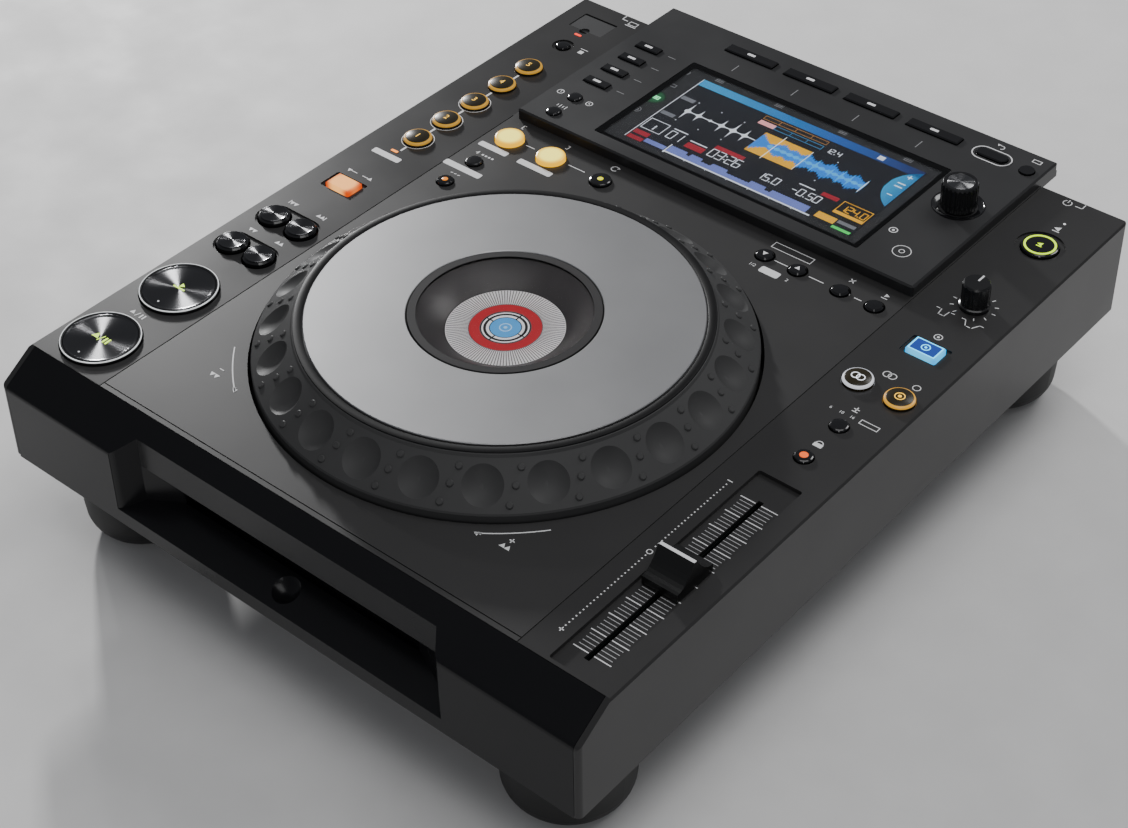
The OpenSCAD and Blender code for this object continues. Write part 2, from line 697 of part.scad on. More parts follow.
module bottom_chassis() {
    x = inner_x - 0.3;
    y0 = edge_y;
    color([0.12, 0.12, 0.13]) difference() {
        union() {
            span([-x, y0, floor_low], [x, rear, floor_top]);
            for (s = [-1, 1]) span([s > 0 ? x - sheet_t : -x, y0 + 12, floor_low],
                [s > 0 ? x : -x + sheet_t, rear, floor_top + 12]);
            span([-x, rear - sheet_t, floor_low], [x, rear, deck_under - 0.3]);
        }
        for (b = case_bosses) bar(b, screw_r + 0.3, floor_low - 1, floor_top + 1);
        for (s = [-1, 1]) for (i = [0:8]) for (j = [0:2])
            pad([s * 62 + i * 7 - 28, rear - 62 - j * 22], 3, 16, 1.2, floor_low - 1, floor_top + 1);
        rear_cut([ac_x, jack_z], inlet, 2);
        rear_cut([lan_x, jack_z], network, 0.4);
        rear_cut([usb_b_x, jack_z], computer, 0.6);
        for (p = rca_pts) rear_hole(p, phono_r + 0.35);
        rear_hole([control_x, jack_z], 3.2);
        rear_hole([power_x, jack_z], power_r + 0.5);
    }
}

// openings of the rear panel
module rear_cut(at, face, r) {
    translate([at[0], rear + 1, at[1]]) rotate([90, 0, 0]) linear_extrude(4)
        rounded(face[0] + 2 * socket_gap, face[1] + 2 * socket_gap, r);
}
module rear_hole(at, r) {
    translate([at[0], rear + 1, at[1]]) rotate([90, 0, 0]) cylinder(h = 4, r = r);
}

// socket body behind the panel with a cavity in its face
module socket(at, face, deep, cw, ch, cavity, r) {
    translate([at[0], rear, at[1]]) rotate([90, 0, 0]) difference() {
        translate([0, 0, -0.6]) linear_extrude(deep) rounded(face[0], face[1], r + 0.4);
        translate([0, 0, -1]) linear_extrude(cavity) rounded(cw, ch, r);
    }
}

module rear_jacks() {
    color([0.1, 0.1, 0.11]) {
        socket([ac_x, jack_z], inlet, 24, inlet[0] - 3, inlet[1] - 3, 16, 1.6);
        for (p = [[-7, -2], [7, -2], [0, 3]])
            translate([ac_x + p[0], rear - 1, jack_z + p[1]]) rotate([90, 0, 0])
                translate([0, 0, 1]) linear_extrude(15) square([2, 4], center = true);
        socket([lan_x, jack_z], network, 18, network[0] - 1.4, network[1] - 2, 12, 0.2);
        socket([usb_b_x, jack_z], computer, 16, computer[0] - 1, computer[1] - 1, 9, 0.4);
        for (p = rca_pts) translate([p[0], rear, p[1]]) rotate([90, 0, 0]) {
            translate([0, 0, sheet_t]) difference() {
                translate([-6, -6, 0]) cube([12, 12, 10]);
                translate([0, 0, -1]) cylinder(h = 9, r = 1.7);
            }
            translate([0, 0, -8.5]) difference() {
                cylinder(h = 8.5 + sheet_t, r = phono_r);
                translate([0, 0, -1]) cylinder(h = 12, r = 1.7);
            }
        }
        translate([control_x, rear, jack_z]) rotate([90, 0, 0]) difference() {
            union() {
                translate([0, 0, -2]) cylinder(h = 3, r = 2.9);
                translate([-4, -3, sheet_t]) cube([8, 6, 12]);
                cylinder(h = sheet_t, r = 2.9);
            }
            translate([0, 0, -3]) cylinder(h = 13, r = 1.8);
        }
        // guide collar of the power button
        translate([power_x, rear - sheet_t, jack_z]) rotate([90, 0, 0]) difference() {
            translate([-8, -8, 0]) cube([16, 16, 10]);
            translate([0, 0, -1]) cylinder(h = 9, r = power_r + running + 0.02);
        }
    }
}

module power_button() {
    color([0.16, 0.16, 0.17]) translate([power_x, rear + 4, jack_z]) rotate([90, 0, 0])
        rotate_extrude() polygon([[0, -0.3], [power_r - 0.8, 0], [power_r, 0.8], [power_r, 9.8],
            [0, 9.8]]);
}

module feet() {
    color([0.1, 0.1, 0.1])
        for (s = [-1, 1], y = [front + foot_from_front, rear - foot_from_rear])
            translate([s * (body_w / 2 - foot_from_side), y, 0]) rotate_extrude() polygon(concat(
                [[0, 0], [foot_r - 15, 0]],
                [for (a = [-80:10:0]) [foot_r - 15 + 13.6 * cos(a), foot_sole * (1 + sin(a))]],
                [[foot_r - 0.6, 2 * foot_sole], [foot_r, floor_low - 4], [foot_r, floor_low],
                    [0, floor_low]]));
}

module fasteners() {
    color([0.55, 0.55, 0.57]) {
        for (b = case_bosses) translate([b[0], b[1], floor_low]) {
            cylinder(h = 10, r = screw_r);
            difference() {
                translate([0, 0, -1.6]) cylinder(h = 1.6, r1 = screw_head_r - 0.5, r2 = screw_head_r);
                translate([-2, -0.35, -2]) cube([4, 0.7, 1.2]);
                translate([-0.35, -2, -2]) cube([0.7, 4, 1.2]);
            }
        }
        for (a = [45:90:315]) translate([jog_x, jog_y, 0]) rotate(a) {
            bar([base_screws, 0], screw_r, well_floor - 4, base_top);
            bar([base_screws, 0], 2.6, base_top, base_top + 1.4);
        }
        // retaining ring of the jog wheel
        difference() {
            bar([jog_x, jog_y], post_r + 2.4, clip_low + 0.05, clip_low + clip_t - 0.05);
            bar([jog_x, jog_y], post_r - 0.7, clip_low - 1, clip_low + clip_t + 1);
        }
    }
}

// ---------- display ----------

module display_housing() {
    mid = [(disp_x0 + disp_x1) / 2, (disp_y0 + disp_y1) / 2];
    color([0.17, 0.17, 0.18]) difference() {
        union() {
            difference() {
                bevelled(mid, display_w, display_d, 1.2, deck_h, disp_top, 0.8);
                pad(mid, display_w - 2 * housing_t, display_d - 2 * housing_t, 0.6, deck_h - 1,
                    disp_under);
            }
            // part that overhangs the rear panel, closed below
            difference() {
                span([disp_x0, rear + 0.1, overhang_low], [disp_x1, disp_y1, deck_h + 1]);
                span([disp_x0 + housing_t, rear + housing_t, overhang_low + sheet_t],
                    [disp_x1 - housing_t, disp_y1 - housing_t, disp_top]);
            }
        }
        // window seat and the opening below it
        pad([window_x, window_y], window_w, window_d, 1, disp_top - window_t, disp_top + 1);
        pad([window_x, window_y], window_w - 6, window_d - 6, 0.5, disp_under - 1, disp_top);
        // keys
        for (i = [0:3]) {
            pad(source_at(i), source_w + 2 * key_gap,
                source_d + 2 * key_gap, 0.8, disp_under - 1, disp_top + 1);
            pad(menu_pt + [i * menu_pitch, 0], menu_w + 2 * key_gap, menu_d + 2 * key_gap, 0.8,
                disp_under - 1, disp_top + 1);
        }
        pad(back_pt, back_w + 2 * key_gap, menu_d + 2 * key_gap, menu_d / 2 + key_gap - eps,
            disp_under - 1, disp_top + 1);
        for (k = [time_mode, quantize, tag]) bar(k[0], k[1] + key_gap, disp_under - 1, disp_top + 1);
        // dish and hole of the rotary selector
        bar(selector_pt, selector_dish_r, disp_top - dish_depth, disp_top + 1);
        bar(selector_pt, sleeve_r + key_gap, disp_under - 1, disp_top);
    }
}

module display_window() {
    color([0.03, 0.03, 0.04])
        pad([window_x, window_y], window_w - 0.2, window_d - 0.2, 0.9, disp_top - window_t, disp_top);
}

// ---------- electronics ----------

// push switch on a board, below a plunger
module push_switch(at, z, half = 2.4) {
    span([at[0] - half, at[1] - half, z], [at[0] + half, at[1] + half, z + switch_h]);
}

// board in the key plane, notched round the case bosses
module key_board(x0, x1, y0, y1) {
    difference() {
        span([x0, y0, board_top - board_t], [x1, y1, board_top]);
        for (b = case_bosses) bar(b, boss_r + seat, board_top - 3, board_top + 1);
    }
}

// spacers and a board above the chassis floor
module floor_board(x0, x1, y0, y1) {
    z = floor_top + 6;
    span([x0, y0, z], [x1, y1, z + board_t]);
    for (x = [x0 + 4, x1 - 4], y = [y0 + 4, y1 - 4]) bar([x, y], 3, floor_top, z);
}

module circuit_boards() {
    board_low = board_top - board_t;
    main_top = floor_top + 6 + board_t;
    supply_x = inner_x - 86;             // left side of the power supply's board
    color([0.1, 0.3, 0.18]) {
        key_board(left + 6, left + 42, edge_y + 1.5, rear - 5);
        key_board(right - 41, right - 6, edge_y + 1.5, rear - 5);
        // board behind the jog wheel and its branch for two keys
        span([left + 45, row(229), board_low], [right - 43, row(249), board_top]);
        span([left + 45, row(186), board_low], [left + 61, row(229), board_top]);
        span([disp_x0 + 1, disp_y0 + 1.5, disp_board_top - board_t],
            [disp_x1 - 1, rear - 4.9, disp_board_top]);
        floor_board(52 - inner_x, inner_x - 92, 0, 150);
        floor_board(supply_x, inner_x - 10, 50, 150);
    }
    color([0.25, 0.25, 0.26]) {
        for (k = concat([usb_stop, loop_in, loop_out, reloop, beat_loop, slip, eject, sync, master,
            tempo_range, master_tempo], beat_keys)) push_switch(k[0], board_top);
        for (k = [cue, play]) push_switch(k[0], board_top, 4.5);
        for (p = [direction_pt, jog_mode_pt]) push_switch(p, board_top);
        for (k = rockers, s = [-1, 1]) push_switch(k[0] + [s * k[1] / 2, 0], board_top, 2);
        for (i = [0:3]) {
            push_switch(source_at(i), disp_board_top);
            push_switch([menu_pt[0] + i * menu_pitch, menu_stem_y], disp_board_top, 1.6);
        }
        for (k = [time_mode, quantize]) push_switch(k[0], disp_board_top);
        for (p = [back_pt, tag_pt]) push_switch([p[0], menu_stem_y], disp_board_top, 1.6);
        // large parts of the main board and of the power supply
        for (x = [-70, -38, 10]) span([x, 40, main_top], [x + 20, 60, main_top + 2]);
        span([-72, 90, main_top], [-34, 118, main_top + 2]);
        span([supply_x + 20, 66, main_top], [supply_x + 48, 92, main_top + 24]);
        for (x = [12, 32, 52]) bar([supply_x + x, 112], 7, main_top, main_top + 20);
        span([supply_x + 56, 66, main_top], [supply_x + 68, 100, main_top + 16]);
    }
    // screen module
    color([0.2, 0.35, 0.5]) {
        pad([screen_x, screen_y], screen_w, screen_d, 1, disp_board_top, disp_under - seat);
        pad([screen_x, screen_y], screen_w - 8, screen_d - 6, 1, disp_board_top, disp_under);
    }
    // fader of the tempo slider: a channel that guides the carriage
    color([0.5, 0.5, 0.52]) {
        reach = tempo_travel + carriage_d / 2;
        difference() {
            span([tempo_pt[0] - fader_w / 2, tempo_pt[1] - reach - 2, board_top],
                [tempo_pt[0] + fader_w / 2, tempo_pt[1] + reach + 2, fader_top]);
            span([tempo_pt[0] - carriage_w / 2 - seat, tempo_pt[1] - reach - 0.5, board_top + 1],
                [tempo_pt[0] + carriage_w / 2 + seat, tempo_pt[1] + reach + 0.5, fader_top - 1]);
            span([tempo_pt[0] - tempo_slot_w / 2, tempo_pt[1] - reach - 0.5, board_top + 2],
                [tempo_pt[0] + tempo_slot_w / 2, tempo_pt[1] + reach + 0.5, fader_top + 1]);
        }
        // body of the vinyl knob's potentiometer
        difference() {
            span([vinyl_pt[0] - 6, vinyl_pt[1] - 6, board_top], [vinyl_pt[0] + 6, vinyl_pt[1] + 6,
                deck_under - seat]);
            bar(vinyl_pt, shaft_r + running, board_top + 1.5, deck_h);
        }
        // body of the selector's encoder
        difference() {
            span([selector_pt[0] - 7, selector_pt[1] - 7, disp_board_top],
                [selector_pt[0] + 7, selector_pt[1] + 7, encoder_top]);
            bar(selector_pt, sleeve_r + running, disp_board_top + 0.8, disp_top);
        }
    }
    // socket for a memory stick, upright below its door
    color([0.7, 0.7, 0.72]) {
        at = usb_pt - [0, 1];
        difference() {
            pad(at, 13.4, 5.8, 0.4, board_top, door_low - seat);
            pad(at, 12.4, 4.8, 0.3, board_top + 0.6, deck_h);
        }
        span([at[0] - 5.5, at[1] + 0.3, board_top + 0.5], [at[0] + 5.5, at[1] + 1.9, board_top + 3.6]);
    }
}

// ---------- jog wheel ----------

module jog_base() {
    color([0.3, 0.3, 0.32]) difference() {
        union() {
            bar([jog_x, jog_y], base_r, well_floor, base_top);
            bar([jog_x, jog_y], post_r, well_floor, dial_top - dial_t);
        }
        bar([jog_x, jog_y], 4, well_floor - 1, dial_top);
        for (a = [45:90:315]) translate([jog_x, jog_y, 0]) rotate(a)
            bar([base_screws, 0], screw_r + 0.1, well_floor - 1, base_top + 1);
        // groove of the retaining ring
        difference() {
            bar([jog_x, jog_y], post_r + 1, clip_low, clip_low + clip_t);
            bar([jog_x, jog_y], post_r - 0.8, clip_low - 1, clip_low + clip_t + 1);
        }
    }
}

module jog_display() {
    color([0.85, 0.85, 0.83]) translate([jog_x, jog_y, 0]) rotate_extrude() polygon([
        [0, dial_top - dial_t], [dial_r - 1, dial_top - dial_t], [dial_r, dial_top - dial_t + 1],
        [dial_r, dial_top], [dial_r - 1, dial_top], [dial_r - 1, dial_top - 0.3],
        [0, dial_top - 0.3]]);
}

// places on the finger slope: radius -> height, along a turned direction
function slope_z(r) = slope_low_z + (jog_r - r) * tan(slope_angle);

// frame on the finger slope, its Z along the slope's normal
module on_slope(angle, r) {
    translate([jog_x, jog_y, 0]) rotate(angle) translate([r, 0, slope_z(r)])
        rotate([0, slope_angle, 0]) children();
}

module jog_ring() {
    pitch = 360 / dimples;
    web_low = deck_h - 1;
    web_top = web_low + 2.5;
    cup = eye_r + seat;
    shelf = plate_top - plate_t;
    color([0.08, 0.08, 0.09]) union() {
        difference() {
            translate([jog_x, jog_y, 0]) rotate_extrude($fn = 96) polygon([
                [jog_r, skirt_low], [jog_r, slope_low_z - 0.5], [jog_r - 0.4, slope_z(jog_r - 0.4)],
                [slope_r, slope_high], [slope_r - 0.6, plate_top - 1.1], [slope_r - 1.4, plate_top - 0.7],
                [plate_r + 1, plate_top - 0.7], [plate_r + 0.3, plate_top - 1],
                [plate_r + 0.3, shelf], [cup, shelf], [cup, plate_top - window_t],
                [eye_r - 3, plate_top - window_t], [eye_r - 3, web_top],
                [post_r + running, web_top], [post_r + running, hub_low], [16, hub_low],
                [16, web_low], [cup, web_low], [cup, shelf - 2.2], [slope_r - 8, shelf - 2.2],
                [slope_r - 3, slope_z(slope_r - 3) - ring_wall],
                [jog_r - 2.5, slope_z(jog_r - 2.5) - ring_wall],
                [jog_r - 2.5, skirt_low]]);
            for (i = [0:dimples - 1])
                on_slope(dimple_from + i * pitch, dimple_r)
                    translate([0, 0, dimple_ball - dimple_depth]) sphere(r = dimple_ball);
        }
        for (i = [0:dimples - 1], j = [0:2])
            on_slope(dimple_from + (i + 0.5) * pitch + (1 - j) * stud_lean, stud_radii[j])
                rotate_extrude() polygon([[0, -2], [stud_r, -2], [stud_r, stud_h - 0.4],
                    [stud_r - 0.4, stud_h], [0, stud_h]]);
    }
}

module jog_plate() {
    color([0.78, 0.78, 0.78]) translate([jog_x, jog_y, 0]) rotate_extrude() polygon([
        [eye_r + 0.4, plate_top - plate_t], [plate_r, plate_top - plate_t], [plate_r, plate_top - 0.3],
        [plate_r - 0.3, plate_top], [eye_r + 0.7, plate_top], [eye_r + 0.4, plate_top - 0.3]]);
}

module jog_window() {
    color([0.1, 0.1, 0.12]) bar([jog_x, jog_y], eye_r, plate_top - window_t, plate_top);
}

// ---------- disc drive ----------

module drive_frame() {
    x = drive_w / 2;
    y0 = edge_y + 3;
    y1 = y0 + drive_d;
    low = floor_top + 4;
    top = disc_z + 10.6;
    color([0.62, 0.62, 0.64]) difference() {
        union() {
            span([-x, y0, low], [x, y1, low + sheet_t]);
            for (s = [-1, 1]) span([s > 0 ? x - sheet_t : -x, y0, low], [s > 0 ? x : -x + sheet_t, y1, top]);
            span([-x, y1 - sheet_t, low], [x, y1, top]);
            span([-x, y0 + 4, top - sheet_t], [x, y1, top]);
            for (sx = [-1, 1], y = [y0 + 8, y1 - 8]) bar([sx * (x - 8), y], 3, floor_top, low);
            // motor below the turntable
            bar([0, hub_y], 14, low, hub_low_z - 0.5);
            // rods that guide the pickup, with a block at each end of its travel
            for (s = [-1, 1]) {
                for (y = [hub_y + 12, sled_stop])
                    span([s * rod_x - 3, y, low], [s * rod_x + 3, y + 4, rod_z + 3]);
                translate([s * rod_x, hub_y + 14, rod_z]) rotate([-90, 0, 0])
                    cylinder(h = y1 - sheet_t - hub_y - 13.9, r = rod_r);
            }
        }
        // opening for the disc at the rear, clamper hole, spindle and roller bearings
        span([-x + 6, y1 - 3, disc_z - 2], [x - 6, y1 + 1, disc_z + 3]);
        bar([0, hub_y], clamper_neck + 1, top - 2, top + 1);
        bar([0, hub_y], shaft_r / 2 + running, low + 1, disc_z);
        translate([-x - 1, roller_y, roller_z]) rotate([0, 90, 0])
            cylinder(h = 2 * x + 2, r = roller_axle_r + running);
    }
}

module loading_roller() {
    half = drive_w / 2;
    color([0.15, 0.15, 0.15]) translate([0, roller_y, roller_z]) rotate([0, 90, 0]) {
        // waisted rubber sleeves on a steel axle
        rotate_extrude() polygon([
            [0, -half - 1.5], [roller_axle_r, -half - 1.5], [roller_axle_r, -roller_half],
            [roller_r, -roller_half], [roller_r - 0.8, -6], [roller_axle_r, -6],
            [roller_axle_r, 6], [roller_r - 0.8, 6], [roller_r, roller_half],
            [roller_axle_r, roller_half], [roller_axle_r, half + 1.5], [0, half + 1.5]]);
    }
}

module disc_turntable() {
    color([0.2, 0.2, 0.21]) translate([0, hub_y, 0]) {
        // turntable with the cone that centres the disc, on its spindle
        rotate_extrude() polygon([
            [0, floor_top + 6], [shaft_r / 2, floor_top + 6], [shaft_r / 2, hub_low_z],
            [14.5, hub_low_z], [15, hub_low_z + 0.5], [15, disc_z - disc_rest],
            [hub_cone_r, disc_z - disc_rest],
            [hub_cone_r - 0.4, disc_z + 0.3], [0, disc_z + 0.3]]);
        // clamper above the disc, hung in the frame's top plate
        rotate_extrude() polygon([
            [0, disc_z + 0.6], [14, disc_z + 0.6], [14, disc_z + 2.4], [clamper_neck, disc_z + 3.4],
            [clamper_neck, disc_z + 10.9], [11.5, disc_z + 10.9], [11.5, disc_z + 12.2],
            [0, disc_z + 12.2]]);
    }
}

module pickup_sled() {
    y0 = hub_y + sled_back;
    low = floor_top + 4 + sheet_t + 0.5;
    color([0.3, 0.3, 0.3]) {
        difference() {
            span([-rod_x - 4, y0, low], [rod_x + 4, y0 + sled_len, rod_z + 3]);
            for (s = [-1, 1]) translate([s * rod_x, y0 - 1, rod_z]) rotate([-90, 0, 0])
                cylinder(h = sled_len + 2, r = rod_r + running);
            span([-10, y0 - 1, rod_z], [10, y0 + 2, rod_z + 4]);
        }
        bar([0, y0 + 8], 3, rod_z + 3, rod_z + 4);
    }
}

// ---------- knobs, slider and door ----------

module selector_sleeve() {
    low = disp_board_top + 1.8;
    top = selector_low - seat;
    color([0.6, 0.6, 0.6]) difference() {
        bar(selector_pt, sleeve_r, low, top);
        bar(selector_pt, shaft_r + running, low + 1, top + 1);
    }
}

module selector_knob() {
    top = disp_top + selector_h;
    color([0.13, 0.13, 0.14]) difference() {
        translate([selector_pt[0], selector_pt[1], 0]) rotate_extrude() polygon([
            [0, disp_board_top + 3.1], [shaft_r, disp_board_top + 3.1], [shaft_r, selector_low],
            [selector_r, selector_low], [selector_r, top - 1], [selector_r - 0.8, top],
            [selector_r - 2, top], [selector_r - 2.4, top - 0.4], [0, top - 0.6]]);
        for (a = [0:15:345]) translate([selector_pt[0], selector_pt[1], 0]) rotate(a)
            bar([selector_r + 0.5, 0], 0.9, selector_low - 1, top + 1);
    }
}

module vinyl_knob() {
    top = deck_h + vinyl_h;
    low = deck_h + seat;
    color([0.1, 0.1, 0.11]) difference() {
        translate([vinyl_pt[0], vinyl_pt[1], 0]) rotate_extrude() polygon([
            [0, board_top + 1.8], [shaft_r, board_top + 1.8], [shaft_r, low], [vinyl_r, low],
            [vinyl_r, low + 1.4], [vinyl_r - 0.6, low + 1.8], [vinyl_r - 0.6, top - 0.8],
            [vinyl_r - 1.4, top], [0, top]]);
        for (a = [15:30:345]) translate([vinyl_pt[0], vinyl_pt[1], 0]) rotate(a)
            bar([vinyl_r + 0.2, 0], 1.1, low + 2.4, top + 1);
        // pointer groove
        span([vinyl_pt[0] - 0.4, vinyl_pt[1] + 1, top - 0.4], [vinyl_pt[0] + 0.4, vinyl_pt[1] + 7,
            top + 1]);
    }
}

module tempo_slider() {
    low = deck_h - track_depth + seat;
    half = slider_d / 2;
    ridge = deck_h + slider_h;
    rim = deck_h + 2.4;
    steps = 7;
    color([0.1, 0.1, 0.11]) {
        // saddle on both sides of a raised ridge
        translate([0, tempo_pt[1], 0]) along_x(tempo_pt[0] - slider_w / 2, tempo_pt[0] + slider_w / 2)
            polygon(concat([[-half, low]],
                [for (i = [0:steps]) let (t = i / steps)
                    [-half + (half - 0.9) * t, rim + (ridge - rim) * pow(t, 2.2)]],
                [for (i = [steps:-1:0]) let (t = i / steps)
                    [half - (half - 0.9) * t, rim + (ridge - rim) * pow(t, 2.2)]],
                [[half, low]]));
        // stem and carriage
        span([tempo_pt[0] - tempo_slot_w / 2 + seat, tempo_pt[1] - 2, fader_top - 2],
            [tempo_pt[0] + tempo_slot_w / 2 - seat, tempo_pt[1] + 2, low]);
        span([tempo_pt[0] - carriage_w / 2, tempo_pt[1] - carriage_d / 2, board_top + 1 + seat],
            [tempo_pt[0] + carriage_w / 2, tempo_pt[1] + carriage_d / 2, fader_top - 1 - seat]);
    }
}

module usb_door() {
    color([0.19, 0.19, 0.2]) difference() {
        union() {
            span([usb_pt[0] - door_w / 2, usb_pt[1] - door_d / 2, door_low],
                [usb_pt[0] + door_w / 2, door_y, door_low + door_t]);
            translate([usb_pt[0] - door_w / 2, door_y, door_z]) rotate([0, 90, 0])
                cylinder(h = door_w, r = door_t / 2);
            translate([usb_pt[0] - door_w / 2 - 1.5, door_y, door_z]) rotate([0, 90, 0])
                cylinder(h = door_w + 3, r = door_pin_r);
        }
        // notch for a fingernail
        bar(usb_pt - [0, door_d / 2], 2.4, door_low + 1.2, deck_h + 1);
    }
}

// ---------- keys ----------

// key of the display housing's rear row, its plunger reaching forward
module rear_row_key(at, w, r, top) {
    low = disp_under - seat - 1;
    bevelled(at, w, menu_d, r, low, top, 0.5);
    pad(at, w + 2 * flange_out, menu_d + 2 * flange_out, r, low, low + 1);
    span([at[0] - 1.5, menu_stem_y - 1.2, low], [at[0] + 1.5, at[1], low + 1]);
    bar([at[0], menu_stem_y], 1.2, disp_switch_top + key_travel + 0.3, low + 1);
}

// round key of the display housing
module housing_key(spec) {
    translate([spec[0][0], spec[0][1], 0])
        round_cap(spec[1], disp_top + spec[2], disp_under, disp_switch_top + key_travel + 0.3);
}

module source_key(i) {
    at = source_at(i);
    low = disp_under - seat - 1;
    color([0.12, 0.12, 0.13]) {
        bevelled(at, source_w, source_d, 0.5, low, disp_top + 1, 0.5);
        pad(at, source_w + 2 * flange_out, source_d + 2 * flange_out, 0.5, low, low + 1);
        bar(at, 1.2, disp_switch_top + key_travel + 0.3, low + 1);
    }
}

module menu_key(i) {
    color([0.12, 0.12, 0.13])
        rear_row_key(menu_pt + [i * menu_pitch, 0], menu_w, 0.5, disp_top + 1);
}

module back_key() { color([0.12, 0.12, 0.13]) rear_row_key(back_pt, back_w, 2.9, disp_top + 1); }

module tag_key() {
    color([0.12, 0.12, 0.13]) {
        bar(tag[0], tag[1], disp_under - seat - 1, disp_top + 0.8);
        bar(tag[0], tag[1] + flange_out, disp_under - seat - 1, disp_under - seat);
        span([tag_pt[0] - 1.5, menu_stem_y - 1.2, disp_under - seat - 1],
            [tag_pt[0] + 1.5, tag_pt[1], disp_under - seat]);
        bar([tag_pt[0], menu_stem_y], 1.2, disp_switch_top + key_travel + 0.3, disp_under - seat);
    }
}

// lit bar key in its shallow dish
module lit_bar_key(at) {
    low = deck_under - seat - flange_t;
    bevelled(at, bar_w, bar_d, 0.8, low, deck_h + 1.4, 0.7);
    pad(at, bar_w + 2 * flange_out, bar_d + 2 * flange_out, 0.8, low, low + flange_t);
    bar(at, 1.6, switch_top + key_travel + 0.2, low + 1);
}
module direction_key() { color([0.35, 0.36, 0.35]) lit_bar_key(direction_pt); }
module jog_mode_key() { color([0.35, 0.36, 0.35]) lit_bar_key(jog_mode_pt); }

module usb_stop_key() { color([0.12, 0.12, 0.13]) deck_key(usb_stop); }
module beat_key(i) { color([0.16, 0.16, 0.17]) deck_key(beat_keys[i]); }
module track_search_rocker() { color([0.14, 0.14, 0.15]) rocker_key(track_rocker); }
module search_rocker() { color([0.14, 0.14, 0.15]) rocker_key(search_rocker_spec); }
module call_rocker() { color([0.14, 0.14, 0.15]) rocker_key(call_rocker_spec); }
module memory_rocker() { color([0.14, 0.14, 0.15]) rocker_key(memory_rocker_spec); }
module cue_button() { color([0.3, 0.3, 0.31]) transport_button(cue); }
module play_button() { color([0.3, 0.3, 0.31]) transport_button(play); }
module loop_in_key() { color([0.16, 0.16, 0.17]) deck_key(loop_in); }
module loop_out_key() { color([0.16, 0.16, 0.17]) deck_key(loop_out); }
module reloop_key() { color([0.14, 0.14, 0.15]) deck_key(reloop); }
module beat_loop_key() { color([0.14, 0.14, 0.15]) deck_key(beat_loop); }
module slip_key() { color([0.14, 0.14, 0.15]) deck_key(slip); }
module eject_key() { color([0.13, 0.13, 0.14]) deck_key(eject); }
module sync_key() { color([0.16, 0.16, 0.17]) deck_key(sync); }
module master_key() { color([0.16, 0.16, 0.17]) deck_key(master); }
module tempo_range_key() { color([0.14, 0.14, 0.15]) deck_key(tempo_range); }
module master_tempo_key() { color([0.14, 0.14, 0.15]) deck_key(master_tempo); }
module time_mode_key() { color([0.12, 0.12, 0.13]) housing_key(time_mode); }
module quantize_key() { color([0.12, 0.12, 0.13]) housing_key(quantize); }

bottom_chassis();
top_case();
front_bezel();
display_housing();
display_window();
rear_jacks();
feet();
circuit_boards();
drive_frame();
fasteners();
jog_base();
jog_display();
jog_ring();
jog_plate();
jog_window();
disc_turntable();
loading_roller();
pickup_sled();
selector_sleeve();
selector_knob();
vinyl_knob();
tempo_slider();
usb_door();
power_button();
usb_stop_key();
beat_key(0);  // beat_key_1
beat_key(1);  // beat_key_2
beat_key(2);  // beat_key_3
beat_key(3);  // beat_key_4
beat_key(4);  // beat_key_5
direction_key();
track_search_rocker();
search_rocker();
cue_button();
play_button();
loop_in_key();
loop_out_key();
reloop_key();
beat_loop_key();
slip_key();
call_rocker();
memory_rocker();
eject_key();
jog_mode_key();
sync_key();
master_key();
tempo_range_key();
master_tempo_key();
source_key(0);  // source_key_1
source_key(1);  // source_key_2
source_key(2);  // source_key_3
source_key(3);  // source_key_4
time_mode_key();
quantize_key();
menu_key(0);  // menu_key_1
menu_key(1);  // menu_key_2
menu_key(2);  // menu_key_3
menu_key(3);  // menu_key_4
back_key();
tag_key();
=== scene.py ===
"""Dresses a tabletop disc player: the finish of every surface, the printed marks,
the lit keys, the screen and the jog wheel's dial, with a plain stage and a camera."""

import math

import bpy
from bpy.props import FloatProperty, FloatVectorProperty, IntProperty, PointerProperty
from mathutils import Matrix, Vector


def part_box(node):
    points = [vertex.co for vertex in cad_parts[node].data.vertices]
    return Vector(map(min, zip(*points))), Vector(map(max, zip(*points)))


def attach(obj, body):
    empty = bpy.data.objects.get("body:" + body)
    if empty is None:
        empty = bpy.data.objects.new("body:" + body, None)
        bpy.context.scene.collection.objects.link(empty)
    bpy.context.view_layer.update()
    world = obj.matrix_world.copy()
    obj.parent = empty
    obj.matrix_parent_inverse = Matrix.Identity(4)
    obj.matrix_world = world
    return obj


bl_info = {
    "name": "Disc Player Dressing",
    "version": (1, 0, 0),
    "blender": (4, 5, 0),
    "location": "3D View > Sidebar > Disc Player",
    "description": "Finishes, marks, lamps, screen and stage of a tabletop disc player",
    "category": "Object",
}

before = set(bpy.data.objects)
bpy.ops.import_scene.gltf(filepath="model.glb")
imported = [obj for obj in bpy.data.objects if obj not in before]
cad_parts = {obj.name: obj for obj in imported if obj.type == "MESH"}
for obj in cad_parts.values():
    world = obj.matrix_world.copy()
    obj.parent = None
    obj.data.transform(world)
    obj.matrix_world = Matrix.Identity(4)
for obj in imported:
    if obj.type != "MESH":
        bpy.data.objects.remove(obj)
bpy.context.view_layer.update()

MM = 0.001
CASE_LOW, CASE_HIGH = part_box("top_case")
DECK_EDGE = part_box("bottom_chassis")[0].y
DECK = CASE_HIGH.z
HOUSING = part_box("display_housing")[1].z
BEAT_KEYS = [f"beat_key_{i}" for i in range(1, 6)]
SOURCE_KEYS = [f"source_key_{i}" for i in range(1, 5)]
MENU_KEYS = [f"menu_key_{i}" for i in range(1, 5)]
SINK = 0.05               # how deep a printed mark starts below its surface, in mm
RING_STEPS = 64           # steps of a whole printed ring
